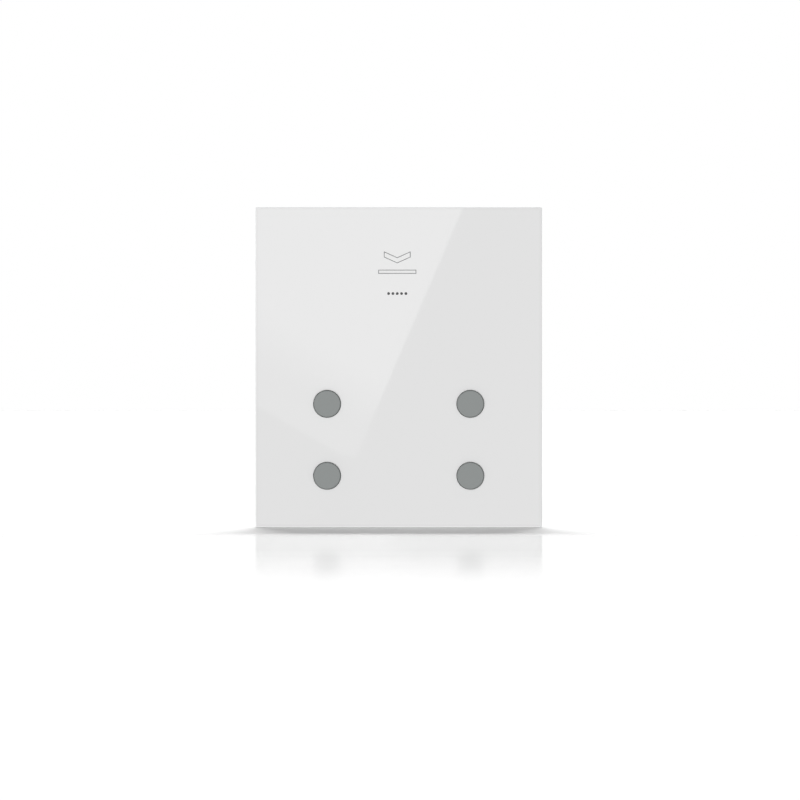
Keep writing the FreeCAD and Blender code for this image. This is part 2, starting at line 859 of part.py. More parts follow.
def make_card_lever():
    """Lever on a cross pin: its nose stands in the pocket and its back presses the sensor."""
    body = new_body("card_lever")
    arm = new_sketch(body, "LeverArm", plane="YZ_Plane")
    polygon(
        arm,
        [
            ("-(arm_front)", "arm_end"),
            ("-(arm_back)", "arm_end"),
            ("-(arm_back)", "pivot_z"),
            ("-(arm_front)", "pivot_z"),
        ],
    )
    pad(body, arm, "lever_width", middle=True)
    hub = new_sketch(body, "LeverHub", plane="YZ_Plane")
    circle(hub, "-(pivot_depth)", "pivot_z", "hub_radius")
    pad(body, hub, "lever_width", middle=True)
    nose = new_sketch(body, "LeverNose", plane="YZ_Plane")
    polygon(
        nose,
        [
            ("-(arm_front - root)", "nose_z + nose_ramp"),
            ("-(nose_front)", "nose_z + nose_tip"),
            ("-(nose_front)", "nose_z - nose_tip"),
            ("-(arm_front - root)", "nose_z - nose_foot"),
        ],
    )
    pad(body, nose, "nose_width", middle=True)
    bore = new_sketch(body, "LeverBore", plane="YZ_Plane")
    circle(bore, "-(pivot_depth)", "pivot_z", "pin_radius + pin_clear")
    pocket(body, bore, "lever_width", middle=True)
    return node(body)


def make_lever_pin():
    """Steel pin through both cheeks and the lever."""
    body = new_body("lever_pin")
    section = new_sketch(body, "PinSection", plane="YZ_Plane")
    circle(section, "-(pivot_depth)", "pivot_z", "pin_radius")
    pad(body, section, "2 * cheek_outer", middle=True)
    return node(body)


def make_sensor_switch():
    """Microswitch between the cheeks, with its plunger bore, screw holes and three blades."""
    body = new_body("sensor_switch")
    block = new_sketch(body, "SensorBlock", plane="YZ_Plane")
    rectangle(block, "-(sensor_front)", "sensor_bottom", "-(sensor_back)", "sensor_top")
    for z in sensor_screw_heights():
        octagon(block, "-(sensor_hole)", z, "sensor_hole_radius")
    pad(body, block, "sensor_width", middle=True)
    blades = new_sketch(body, "SensorBlades", plane="YZ_Plane")
    for step in ("-1", "0", "1"):
        middle = f"sensor_middle + ({step}) * blade_pitch"
        low, high = f"{middle} - blade_thick / 2", f"{middle} + blade_thick / 2"
        rectangle(blades, "-(sensor_back + root)", low, "-(sensor_back - blade_length)", high)
    pad(body, blades, "blade_width", middle=True)
    bore = new_sketch(body, "StemBore", "sensor_front")
    circle(bore, "0", "stem_z", "sensor_stem_radius + sensor_stem_clear")
    pocket(body, bore, "sensor_stem_hidden + sensor_travel + sensor_bore_spare")
    return node(body)


def make_sensor_plunger():
    """The microswitch's plunger under the lever."""
    body = new_body("sensor_plunger")
    stem = new_sketch(body, "StemSection", "stem_end")
    circle(stem, "0", "stem_z", "sensor_stem_radius")
    pad(body, stem, "stem_tip - stem_end")
    return node(body)


# Base


def make_base_housing():
    """Tray behind the glass and the box that enters the wall, moulded in one."""
    body = new_body("base_housing")
    outline = new_sketch(body, "TrayOutline")
    rounded(outline, "tray_x", "tray_z", "housing_corner")
    pad(body, outline, "carrier_front")
    front_room = new_sketch(body, "FrontRoom", "carrier_front")
    rectangle(front_room, "-inner_x", "-inner_z", "inner_x", "inner_z")
    pocket(body, front_room, "carrier_front - floor_front")
    frame_room = new_sketch(body, "FrameRoom")
    rectangle(frame_room, "-inner_x", "-inner_z", "inner_x", "inner_z")
    pocket(body, frame_room, "frame_thick", reverse=True)

    box = new_sketch(body, "WallBoxPart", "frame_thick")
    rounded(box, "box_half", "box_half", "box_corner")
    pad(body, box, "frame_thick + box_depth", reverse=True)
    room = new_sketch(body, "RelayRoom", "floor_front")
    rectangle(room, "-box_inner", "-box_inner", "box_inner", "box_inner")
    pocket(body, room, "floor_front + box_depth")

    wells = new_sketch(body, "ScrewWells", "floor_front - root")
    for x, z in corners("boss_x", "boss_z"):
        square(wells, x, z, "well_radius + well_wall")
    pad(body, wells, "well_depth + root")
    seats = new_sketch(body, "ScrewSeats", "frame_thick")
    for x, z in corners("boss_x", "boss_z"):
        circle(seats, x, z, "well_radius")
    pocket(body, seats, "well_depth", reverse=True)
    holes = new_sketch(body, "ScrewHoles", "well_front")
    for x, z in corners("boss_x", "boss_z"):
        octagon(holes, x, z, "large_shank + hole_clear")
    pocket(body, holes, "floor_thick")

    posts = new_sketch(body, "BoardPosts", "-(box_depth)")
    for x, z in corners("post_at", "post_at"):
        square(posts, x, z, "post_half + root")
    pad(body, posts, "box_depth - relay_board_back")
    pilots = new_sketch(body, "CoverPilots", "-(box_depth)")
    for x, z in cover_screw_places():
        octagon(pilots, x, z, "small_hole")
    pocket(body, pilots, "small_length - cover_thick + pilot_spare", reverse=True)
    for name, side in (("LeftSnap", "-"), ("RightSnap", "")):
        snap = new_sketch(body, name, "snap_at", "XY_Plane")
        face, tip = f"{side}(box_inner + root)", f"{side}(box_inner - snap_reach)"
        polygon(
            snap,
            [
                (face, "relay_board_depth - snap_slope - snap_face"),
                (tip, "relay_board_depth - snap_face"),
                (tip, "relay_board_depth"),
                (face, "relay_board_depth"),
            ],
        )
        pad(body, snap, "snap_width")

    windows = new_sketch(body, "WallScrewWindows", "floor_front")
    half = "screw_window / 2"
    for x, z in wall_screw_places():
        rectangle(windows, f"{x} - {half}", f"{z} - {half}", f"{x} + {half}", f"{z} + {half}")
    pocket(body, windows, "floor_thick")

    hooks = new_sketch(body, "HookSlots", "floor_front")
    for side in ("-", ""):
        left = f"{side}hook_at - hook_width / 2 - hook_play"
        right = f"{side}hook_at + hook_width / 2 + hook_play"
        low = "hook_z - hook_lip - frame_thick - hook_play"
        rectangle(hooks, left, low, right, "hook_z + hook_seat")
    pocket(body, hooks, "floor_thick")
    tab = new_sketch(body, "LockTabSlot", "floor_front")
    half = "lock_tab_width / 2 + hook_play"
    top = "frame_thick + hook_play - frame_z"
    rectangle(tab, minus(half), "-(frame_z + hook_lip + hook_play)", half, top)
    pocket(body, tab, "floor_thick")

    mouth = new_sketch(body, "CardMouth", "-(pocket_x + cut_over)", "YZ_Plane")
    near, far = "guide_front - mouth_clear", "carrier_back + mouth_clear"
    polygon(
        mouth,
        [
            (minus(far), "inner_z - cut_over"),
            (minus(near), "inner_z - cut_over"),
            (minus(near), "tray_z - mouth_flare"),
            (minus(f"{near} - mouth_flare"), "tray_z + cut_over"),
            (minus(f"{far} + mouth_flare"), "tray_z + cut_over"),
            (minus(far), "tray_z - mouth_flare"),
        ],
    )
    pocket(body, mouth, "2 * (pocket_x + cut_over)", reverse=True)

    lock = new_sketch(body, "LockBoss", "-(inner_z + root)", "XY_Plane")
    low, high = "-(lock_depth + lock_boss_rise)", "-(floor_front - root)"
    rectangle(lock, "-lock_boss_half", low, "lock_boss_half", high)
    pad(body, lock, "lock_boss + root")
    bottom = new_sketch(body, "LockSeat", "-tray_z", "XY_Plane")
    circle(bottom, "0", "-(lock_depth)", "large_head + lock_head_clear")
    pocket(body, bottom, "skirt_wall + root", reverse=True)
    hole = new_sketch(body, "LockHole", "-tray_z", "XY_Plane")
    octagon(hole, "0", "-(lock_depth)", "lock_radius + hole_clear")
    pocket(body, hole, "skirt_wall + lock_boss + cut_over", reverse=True)

    entries = new_sketch(body, "WireOpening", "-(box_depth)")
    low, high = "-(box_half + cut_over)", "cut_over - box_inner"
    rectangle(entries, "-(terminal_half)", low, "terminal_half", high)
    pocket(body, entries, "box_depth - relay_board_back", reverse=True)

    vents = new_sketch(body, "SideVents", plane="YZ_Plane")
    for step in range(3):
        y = f"vent_start + {step} * vent_pitch"
        rectangle(vents, y, "-vent_length / 2", f"{y} + vent_width", "vent_length / 2")
    pocket(body, vents, "2 * (box_half + cut_over)", middle=True)
    return node(body)


def cover_screw_places():
    """Two opposite corners of the wall part."""
    return [("post_at", "post_at"), ("-(post_at)", "-(post_at)")]


def wall_screw_places():
    half = "screw_spacing / 2"
    return [(half, "0"), (minus(half), "0"), ("0", half), ("0", minus(half))]


def make_mounting_frame():
    """Steel frame on the wall, with slots for the box screws, two hooks and the lock tab."""
    body = new_body("mounting_frame")
    outline = new_sketch(body, "FrameOutline")
    rounded(outline, "frame_x", "frame_z", "frame_corner")
    pad(body, outline, "frame_thick")
    aperture = new_sketch(body, "FrameAperture", "frame_thick")
    square(aperture, "0", "0", "aperture")
    pocket(body, aperture, "frame_thick")
    slots = new_sketch(body, "FrameSlots", "frame_thick")
    for x, z in wall_screw_places():
        slot(slots, x, z, "slot_length", "slot_width", upright=x == "0")
    pocket(body, slots, "frame_thick")

    notches = new_sketch(body, "HookNotches", "frame_thick")
    for side in ("-", ""):
        left = f"{side}hook_at - hook_width / 2 - hook_relief"
        right = f"{side}hook_at + hook_width / 2 + hook_relief"
        rectangle(notches, left, "hook_z", right, "frame_z + cut_over")
    pocket(body, notches, "frame_thick")
    lip_back, lip_front = "floor_front + hook_clear", "floor_front + hook_clear + frame_thick"
    for name, side in (("LeftHook", "-"), ("RightHook", "")):
        hook = new_sketch(body, name, f"{side}hook_at - hook_width / 2", "YZ_Plane")
        polygon(
            hook,
            [
                ("0", "hook_z - frame_thick"),
                ("0", "hook_z"),
                (minus(lip_back), "hook_z"),
                (minus(lip_back), "hook_z + hook_lip"),
                (minus(lip_front), "hook_z + hook_lip"),
                (minus(lip_front), "hook_z - frame_thick"),
            ],
        )
        pad(body, hook, "hook_width")
    tab = new_sketch(body, "LockTab", "frame_thick / 2")
    half = "lock_tab_width / 2"
    rectangle(tab, minus(half), "-frame_z", half, "frame_thick - frame_z")
    pad(body, tab, "lock_depth + lock_radius + lock_tab_edge - frame_thick / 2")
    hole = new_sketch(body, "LockThread", "-frame_z", "XY_Plane")
    circle(hole, "0", "-(lock_depth)", "lock_radius + thread_clear")
    pocket(body, hole, "frame_thick", reverse=True)
    return node(body)


def make_relay_board():
    """Board in the wall part, between its posts and snaps."""
    body = new_body("relay_board")
    outline = new_sketch(body, "RelayBoardOutline", "-(relay_board_back)")
    square(outline, "0", "0", "relay_board_half")
    pad(body, outline, "relay_board_thick")
    return node(body)


def make_relay():
    left, bottom = "block_margin - box_inner", "-relay_low"
    size = ("relay_width", "relay_length", "relay_tall")
    return board_block("relay", left, bottom, *size, "relay_edge")


def make_supply_module():
    left, bottom = "box_inner - block_margin - supply_width", "-supply_low"
    size = ("supply_width", "supply_length", "supply_tall")
    return board_block("supply_module", left, bottom, *size, "supply_edge")


def board_block(label, left, bottom, width, length, tall, edge):
    """A boxed component that stands on the front of the relay board."""
    body = new_body(label)
    base = new_sketch(body, "Base", "-(relay_board_depth)")
    rectangle(base, left, bottom, f"{left} + {width}", f"{bottom} + {length}")
    pad(body, base, tall)
    front = f"{tall} - relay_board_depth"
    chamfer(body, edge, lambda e: runs_back(e) or at_depth(e, front))
    return node(body)


def make_filter_capacitor():
    """Electrolytic can that stands on the relay board."""
    body = new_body("filter_capacitor")
    can = new_sketch(body, "Can", "-(relay_board_depth)")
    circle(can, "0", "0", "capacitor_radius")
    pad(body, can, "capacitor_tall")
    place(body, x="-(box_inner - capacitor_inset)", z="-(box_inner - lower_inset)")
    return node(body)


def make_varistor():
    """Disc varistor standing on its two leads."""
    body = new_body("varistor")
    disc = new_sketch(body, "Disc", plane="YZ_Plane")
    middle = "relay_board_depth - varistor_radius - varistor_lift"
    circle(disc, middle, "0", "varistor_radius")
    pad(body, disc, "varistor_thick", middle=True)
    leads = new_sketch(body, "Leads", "-(relay_board_depth)")
    for z in ("-lead_pitch / 2", "lead_pitch / 2"):
        square(leads, "0", z, "lead_side / 2")
    pad(body, leads, "varistor_radius + varistor_lift")
    place(body, x="-varistor_left", z="-(box_inner - lower_inset)")
    return node(body)


def header_places():
    places = []
    for column in ("-1.5", "-0.5", "0.5", "1.5"):
        for line in ("-0.5", "0.5"):
            places.append((f"header_x + ({column}) * pin_pitch", f"header_z + ({line}) * pin_pitch"))
    return places


def make_board_header():
    """Plastic body of the pin header on the back of the button board."""
    body = new_body("board_header")
    outline = new_sketch(body, "HeaderOutline", "board_back")
    strip(outline)
    for x, z in header_places():
        square(outline, x, z, "pin_side / 2")
    pad(body, outline, "header_tall", reverse=True)
    return node(body)


def strip(sketch):
    """Outline of a header or socket of two rows of four."""
    half_x, half_z = "2 * pin_pitch", "pin_pitch"
    left, right = f"header_x - {half_x}", f"header_x + {half_x}"
    rectangle(sketch, left, f"header_z - {half_z}", right, f"header_z + {half_z}")


def make_board_socket():
    """Socket on the relay board that the header's pins enter."""
    body = new_body("board_socket")
    outline = new_sketch(body, "SocketOutline", "-(relay_board_depth)")
    strip(outline)
    pad(body, outline, "socket_tall")
    holes = new_sketch(body, "SocketHoles", "socket_tall - relay_board_depth")
    for x, z in header_places():
        square(holes, x, z, "pin_side / 2 + socket_clear")
    pocket(body, holes, "socket_entry + socket_spare")
    return node(body)


def make_header_pins():
    """Square pins from the button board into the socket."""
    pin = new_body("HeaderPin")
    section = new_sketch(pin, "PinSquare", "board_back")
    square(section, "0", "0", "pin_side / 2")
    pad(pin, section, "board_back + relay_board_depth - socket_tall + socket_entry", reverse=True)
    return group("header_pins", pin, [(x, "0", z) for x, z in header_places()])


def terminal_places():
    return [f"({i} - 2.5) * terminal_pitch" for i in range(6)]


def make_terminal_block():
    """Six-way block: wires enter from below, screws are reached from behind."""
    body = new_body("terminal_block")
    profile = new_sketch(body, "BlockProfile", "-terminal_x", "YZ_Plane")
    polygon(
        profile,
        [
            ("relay_board_back", "-box_half"),
            ("cover_back - terminal_slope", "-box_half"),
            ("cover_back", "terminal_slope - box_half"),
            ("cover_back", "terminal_top"),
            ("relay_board_back", "terminal_top"),
        ],
    )
    pad(body, profile, "2 * terminal_x")
    cavities = new_sketch(body, "WireCavities", "-box_half", "XY_Plane")
    for x in terminal_places():
        square(cavities, x, "cavity_depth", "terminal_cavity / 2")
    pocket(body, cavities, "terminal_deep - terminal_floor", reverse=True)
    wells = new_sketch(body, "ScrewShafts", "-(cover_back)")
    for x in terminal_places():
        octagon(wells, x, "terminal_screw_z", "terminal_well")
    pocket(body, wells, "cover_back - cavity_back + thread_clear", reverse=True)
    return node(body)


def make_terminal_clamps():
    """Brass cages that the wires enter."""
    cage = new_body("Clamp")
    height = "terminal_deep - 2 * terminal_floor"
    outside = new_sketch(cage, "ClampOutside", plane="XY_Plane")
    square(outside, "0", "0", "clamp_side / 2")
    pad(cage, outside, height)
    inside = new_sketch(cage, "ClampInside", plane="XY_Plane")
    square(inside, "0", "0", "clamp_side / 2 - clamp_wall")
    pocket(cage, inside, height, reverse=True)
    thread = new_sketch(cage, "ClampThread", "-(clamp_side / 2)")
    high = "terminal_deep / 2 - terminal_floor + clamp_play"
    square(thread, "0", high, "large_shank + thread_clear")
    pocket(cage, thread, "clamp_wall", reverse=True)
    low = "terminal_floor - clamp_play - box_half"
    return group("terminal_clamps", cage, [(x, "cavity_depth", low) for x in terminal_places()])


def make_rear_cover():
    """Cover of the wall part, with vents and a cut for the terminals."""
    body = new_body("rear_cover")
    outline = new_sketch(body, "CoverOutline", "-(cover_back)")
    rounded(outline, "box_half", "box_half", "box_corner")
    for x, z in cover_screw_places():
        octagon(outline, x, z, "small_passage")
    pad(body, outline, "cover_thick")
    cut = new_sketch(body, "TerminalCut", "-(box_depth)")
    low, high = "-(box_half + cut_over)", "terminal_top + cut_clear"
    rectangle(cut, "-(terminal_half)", low, "terminal_half", high)
    pocket(body, cut, "cover_thick")
    vents = new_sketch(body, "CoverVents", "-(box_depth)")
    for step in range(6):
        x = f"({step} - 2.5) * vent_pitch"
        rectangle(vents, f"{x} - vent_width / 2", "0", f"{x} + vent_width / 2", "vent_length")
    pocket(body, vents, "cover_thick")
    return node(body)


# Assembly

make_glass_panel()
make_panel_tape()
make_front_carrier()
for number, x, z in BUTTONS:
    make_button_cap(number, x, z)
    make_switch_plunger(number, x, z)
    make_switch_body(number, x, z)
make_button_board()
make_card_guide()
make_card_lever()
make_lever_pin()
make_sensor_switch()
make_sensor_plunger()
make_base_housing()
make_mounting_frame()
make_relay_board()
make_relay()
make_supply_module()
make_filter_capacitor()
make_varistor()
make_board_header()
make_board_socket()
make_header_pins()
make_terminal_block()
make_terminal_clamps()
make_rear_cover()

SMALL = ("small_head", "small_head_tall")
LARGE = ("large_head", "large_head_tall")
small_screw = screw("SmallScrew", *SMALL, "small_shank", "small_length")
large_screw = screw("LargeScrew", *LARGE, "large_shank", "large_length")
guide_screw = screw("GuideScrew", *SMALL, "small_shank", "guide_length")
cheek_core = "sensor_hole_radius - sensor_hole_clear"
cheek_screw = screw("CheekScrew", *SMALL, cheek_core, "2 * cheek_outer")
clamp_screw = screw("ClampScrew", *SMALL, "large_shank", "terminal_length")
edge_screw = screw("EdgeScrew", *LARGE, "lock_radius", "lock_length")

spots = [(x, "-(guide_back)", z) for x, z in guide_screw_places()]
group("guide_screws", guide_screw, spots, TO_FRONT)
spots = [(x, "-(board_back)", z) for x, z in board_screw_places()]
group("board_screws", small_screw, spots, TO_FRONT)
spots = [(x, "-(frame_thick + well_depth)", z) for x, z in corners("boss_x", "boss_z")]
group("housing_screws", large_screw, spots, TO_FRONT)
spots = [(x, "cover_back", z) for x, z in cover_screw_places()]
group("rear_cover_screws", small_screw, spots, TO_FRONT)
spots = [("-cheek_outer", "-(sensor_hole)", z) for z in sensor_screw_heights()]
group("sensor_screws", cheek_screw, spots, TO_RIGHT)
spots = [(x, "cavity_back", "terminal_screw_z") for x in terminal_places()]
group("terminal_screws", clamp_screw, spots, TO_FRONT)
group("lock_screw", edge_screw, [("0", "-(lock_depth)", "lock_seat")], TO_TOP)

# Check and export

doc.recompute()
faults = []
for thing in doc.Objects:
    if "Invalid" in thing.State or "Error" in thing.State:
        faults.append(f"{thing.Label}: {thing.State}")
for piece in NODES:
    if piece.Shape.isNull() or not piece.Shape.isValid() or not piece.Shape.Solids:
        faults.append(f"{piece.Label}: no valid solid")
if faults:
    raise RuntimeError("\n".join(faults))

os.makedirs("parts", exist_ok=True)
for piece in NODES:
    piece.Shape.exportStep(os.path.join("parts", piece.Label + ".step"))
    print(piece.Label, len(piece.Shape.Solids), round(piece.Shape.Volume, 1))
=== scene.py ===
"""Card-holder wall switch with four pushbuttons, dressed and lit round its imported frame.

X runs to the right, Z up, and the glass faces -Y. Sizes are in millimetres and turned to metres
where a mesh or a node needs them.
"""

import logging
import math
from dataclasses import dataclass
from enum import Enum

import bmesh
import bpy
from mathutils import Matrix, Vector


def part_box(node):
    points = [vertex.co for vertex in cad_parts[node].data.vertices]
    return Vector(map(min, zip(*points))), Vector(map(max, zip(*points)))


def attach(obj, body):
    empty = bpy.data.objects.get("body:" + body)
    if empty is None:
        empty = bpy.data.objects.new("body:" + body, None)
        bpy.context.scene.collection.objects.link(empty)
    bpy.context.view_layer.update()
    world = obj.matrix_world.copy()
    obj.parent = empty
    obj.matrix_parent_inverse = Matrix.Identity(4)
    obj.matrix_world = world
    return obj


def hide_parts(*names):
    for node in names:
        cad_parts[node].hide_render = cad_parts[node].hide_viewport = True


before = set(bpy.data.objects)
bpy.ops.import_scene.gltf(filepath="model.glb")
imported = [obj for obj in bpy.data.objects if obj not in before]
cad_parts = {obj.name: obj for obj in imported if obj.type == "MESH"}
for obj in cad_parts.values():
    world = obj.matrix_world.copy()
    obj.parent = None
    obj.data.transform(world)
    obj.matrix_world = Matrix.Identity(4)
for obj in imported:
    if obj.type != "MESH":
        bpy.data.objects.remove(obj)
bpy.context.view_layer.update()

MM = 0.001
LOG = logging.getLogger("wall_switch")
# Corners of a mesh that lie closer than this, in metres, are one corner.
SAME_PLACE = 1e-6

BACKWARD = (0.0, 1.0, 0.0)
LEFT = (-1.0, 0.0, 0.0)
DOWN = (0.0, 0.0, -1.0)

Point = tuple[float, float]
Span = tuple[float, float]
Direction = tuple[float, float, float]
Colour = tuple[float, float, float, float]


# Meshes


def box_mm(node: str) -> tuple[Vector, Vector]:
    """Gives a CAD node's box in millimetres.

    Args:
        node: Name of the node.

    Returns:
        The lowest and the highest corner.
    """
    low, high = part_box(node)
    return Vector(low) / MM, Vector(high) / MM


def glass_front() -> float:
    """Gives the depth of the glass's front face in millimetres."""
    return box_mm("glass_panel")[0].y


def solids_of(node: str) -> list[tuple[Vector, Vector]]:
    """Finds the separate solids of a CAD node.

    Args:
        node: Name of the node.

    Returns:
        Each solid's lowest and highest corner in millimetres, sorted by place.
    """
    mesh = bmesh.new()
    mesh.from_mesh(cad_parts[node].data)
    bmesh.ops.remove_doubles(mesh, verts=mesh.verts, dist=SAME_PLACE)
    left = set(mesh.verts)
    boxes = []
    while left:
        reached = [left.pop()]
        corners = []
        while reached:
            vert = reached.pop()
            corners.append(vert.co / MM)
            for edge in vert.link_edges:
                other = edge.other_vert(vert)
                if other in left:
                    left.remove(other)
                    reached.append(other)
        low = Vector([min(c[i] for c in corners) for i in range(3)])
        high = Vector([max(c[i] for c in corners) for i in range(3)])
        boxes.append((low, high))
    mesh.free()
    return sorted(boxes, key=lambda pair: tuple(round(c, 3) for c in pair[0]))


def lathe(profile: list[Point], steps: int = 40) -> bmesh.types.BMesh:
    """Turns a profile about the Z axis into a closed solid.

    Args:
        profile: Pairs of radius and height from the axis at the top to the axis at the bottom.
        steps: Number of faces round the axis.

    Returns:
        The mesh, in the profile's own unit.
    """
    mesh = bmesh.new()
    rings = []
    for radius, height in profile:
        if radius == 0:
            rings.append([mesh.verts.new((0, 0, height))])
            continue
        ring = []
        for i in range(steps):
            angle = 2 * math.pi * i / steps
            ring.append(mesh.verts.new((radius * math.cos(angle), radius * math.sin(angle), height)))
        rings.append(ring)
    for upper, lower in zip(rings, rings[1:]):
        for i in range(steps):
            j = (i + 1) % steps
            corners = [upper[i % len(upper)], lower[i % len(lower)]]
            corners += [lower[j % len(lower)], upper[j % len(upper)]]
            corners = list(dict.fromkeys(corners))
            if len(corners) > 2:
                mesh.faces.new(corners)
    bmesh.ops.recalc_face_normals(mesh, faces=mesh.faces)
    return mesh


def block(low: Vector, high: Vector, taper: float) -> bmesh.types.BMesh:
    """Makes a box whose lower face can be smaller than its upper one.

    Args:
        low: Lowest corner.
        high: Highest corner.
        taper: Size of the lower face as a share of the upper one.

    Returns:
        The mesh.
    """
    mesh = bmesh.new()
    bmesh.ops.create_cube(mesh, size=1.0)
    middle = (low + high) / 2
    size = high - low
    for vert in mesh.verts:
        share = taper if vert.co.z < 0 else 1.0
        place = Vector((vert.co.x * size.x * share, vert.co.y * size.y * share, vert.co.z * size.z))
        vert.co = middle + place
    return mesh


def join_into(target: bmesh.types.BMesh, piece: bmesh.types.BMesh, turn: Matrix) -> None:
    """Adds a copy of one mesh to another.

    Args:
        target: Mesh that receives the copy.
        piece: Mesh that is copied.
        turn: Transform of the copy.
    """
    found = {}
    for vert in piece.verts:
        found[vert] = target.verts.new(turn @ vert.co)
    for face in piece.faces:
        copied = target.faces.new([found[vert] for vert in face.verts])
        copied.smooth = face.smooth


def as_object(name: str, mesh: bmesh.types.BMesh, smooth_deg: float = 0.0) -> bpy.types.Object:
    """Turns a mesh in millimetres into an object in metres.

    Args:
        name: Name of the object.
        mesh: Mesh, which is freed.
        smooth_deg: Edges under this angle are shaded smooth; 0 keeps every face flat.

    Returns:
        The new object.
    """
    bmesh.ops.scale(mesh, vec=(MM, MM, MM), verts=mesh.verts)
    data = bpy.data.meshes.new(name)
    if smooth_deg:
        for face in mesh.faces:
            face.smooth = True
        for edge in mesh.edges:
            if len(edge.link_faces) == 2:
                edge.smooth = edge.calc_face_angle() < math.radians(smooth_deg)
    mesh.to_mesh(data)
    mesh.free()
    thing = bpy.data.objects.new(name, data)
    bpy.context.collection.objects.link(thing)
    return thing


def cut_away(thing: bpy.types.Object, cutter: bpy.types.Object) -> None:
    """Takes one object's shape out of another and removes the cutter.

    Args:
        thing: Object that is cut.
        cutter: Object that is taken away from it.
    """
    modifier = thing.modifiers.new("cut", "BOOLEAN")
    modifier.operation = "DIFFERENCE"
    modifier.solver = "EXACT"
    modifier.object = cutter
    graph = bpy.context.evaluated_depsgraph_get()
    cut = bpy.data.meshes.new_from_object(thing.evaluated_get(graph))
    thing.modifiers.clear()
    thing.data = cut
    bpy.data.objects.remove(cutter)


def ribbon(points: list[Point], width: float) -> list[tuple[Vector, Vector]]:
    """Works out both edges of a closed flat line with mitred corners.

    Args:
        points: Corners of the line's middle; the last one joins the first.
        width: Width of the line.

    Returns:
        For each corner, the point on the line's right edge and on its left edge.
    """
    edges = []
    for i, here in enumerate(points):
        middle = Vector(here)
        first = (middle - Vector(points[i - 1])).normalized()
        second = (Vector(points[(i + 1) % len(points)]) - middle).normalized()
        bisector = (first + second).normalized()
        across = Vector((-bisector.y, bisector.x))
        reach = width / 2 / across.dot(Vector((-first.y, first.x)))
        edges.append((middle - across * reach, middle + across * reach))
    return edges


# Materials


def to_linear(hex_colour: str) -> Colour:
    """Turns an sRGB hex colour into the linear one that the nodes take.

    Args:
        hex_colour: Colour such as "#8F9392".

    Returns:
        Linear red, green and blue, and an alpha of 1.
    """
    channels = []
    for i in (1, 3, 5):
        value = int(hex_colour[i:i + 2], 16) / 255
        channels.append(value / 12.92 if value <= 0.04045 else ((value + 0.055) / 1.055) ** 2.4)
    return channels[0], channels[1], channels[2], 1.0


WHITE = to_linear("#FFFFFF")


def add_node(tree: bpy.types.NodeTree, kind: str, settings: dict, links: dict) -> bpy.types.Node:
    """Adds a node to a tree.

    Args:
        tree: Node tree that receives the node.
        kind: Type name of the node.
        settings: Values by the name of a property or of an input socket.
        links: Output sockets by the name or number of the input that they feed.

    Returns:
        The new node.
    """
    made = tree.nodes.new(kind)
    for name, value in settings.items():
        if isinstance(name, str) and hasattr(made, name):
            setattr(made, name, value)
        else:
            made.inputs[name].default_value = value
    for name, source in links.items():
        tree.links.new(source, made.inputs[name])
    return made


def new_material(name: str) -> tuple[bpy.types.Material, bpy.types.NodeTree]:
    """Makes an empty node material.

    Args:
        name: Name of the material.

    Returns:
        The material and its tree without any node.
    """
    material = bpy.data.materials.new(name)
    material.use_nodes = True
    material.node_tree.nodes.clear()
    return material, material.node_tree


def set_ramp(node: bpy.types.Node, stops: list[tuple[float, Colour]]) -> None:
    """Gives a colour ramp its stops.

    Args:
        node: Colour ramp node.
        stops: Position and linear colour of each stop, in order.
    """
    elements = node.color_ramp.elements
    while len(elements) < len(stops):
        elements.new(1.0)
    for element, (position, colour) in zip(elements, stops):
        element.position = position
        element.color = colour


# Nearly all of a noise texture's values lie between these two.
NOISE_LOW, NOISE_HIGH = 0.3, 0.7


@dataclass(frozen=True)
class Finish:
    """A surface with a fine grain that varies its colour, gloss and height.

    Attributes:
        name: Name of the material.
        colour: Main colour as sRGB hex.
        shade: Colour that the grain drifts to.
        roughness: Mean roughness.
        spread: How far the grain moves the roughness each way.
        grain_mm: Size of the grain, drawn coarser than the real one where that is too fine to show.
        height_mm: Height of the grain's relief.
        ior: Index of refraction of a non-metal.
        metallic: 1 for a bare metal.
        stretch: How much longer the grain is along X, Y and Z.
    """

    name: str
    colour: str
    shade: str
    roughness: float
    spread: float
    grain_mm: float
    height_mm: float
    ior: float = 1.5
    metallic: float = 0.0
    stretch: tuple[float, float, float] = (1.0, 1.0, 1.0)

    def material(self) -> bpy.types.Material:
        """Builds the node material, or gives the one that is already built.

        Returns:
            The material.
        """
        if self.name in bpy.data.materials:
            return bpy.data.materials[self.name]
        material, tree = new_material(self.name)
        place = add_node(tree, "ShaderNodeTexCoord", {}, {})
        per_metre = 1 / (self.grain_mm * MM)
        scale = tuple(per_metre / part for part in self.stretch)
        mapped = add_node(
            tree, "ShaderNodeMapping", {"Scale": scale}, {"Vector": place.outputs["Object"]}
        )
        grain = add_node(
            tree,
            "ShaderNodeTexNoise",
            {"Scale": 1.0, "Detail": 3.0, "Roughness": 0.6},
            {"Vector": mapped.outputs["Vector"]},
        )
        tint = add_node(tree, "ShaderNodeValToRGB", {}, {"Fac": grain.outputs["Fac"]})
        set_ramp(tint, [(NOISE_LOW, to_linear(self.shade)), (NOISE_HIGH, to_linear(self.colour))])
        gloss = add_node(
            tree,
            "ShaderNodeMapRange",
            {"To Min": self.roughness - self.spread, "To Max": self.roughness + self.spread},
            {"Value": grain.outputs["Fac"]},
        )
        relief = add_node(
            tree,
            "ShaderNodeBump",
            {"Strength": 1.0, "Distance": self.height_mm * MM},
            {"Height": grain.outputs["Fac"]},
        )
        settings = {"Metallic": self.metallic}
        if not self.metallic:
            settings["IOR"] = self.ior
        surface = add_node(
            tree,
            "ShaderNodeBsdfPrincipled",
            settings,
            {
                "Base Color": tint.outputs["Color"],
                "Roughness": gloss.outputs["Result"],
                "Normal": relief.outputs["Normal"],
            },
        )
        add_node(tree, "ShaderNodeOutputMaterial", {}, {"Surface": surface.outputs["BSDF"]})
        return material


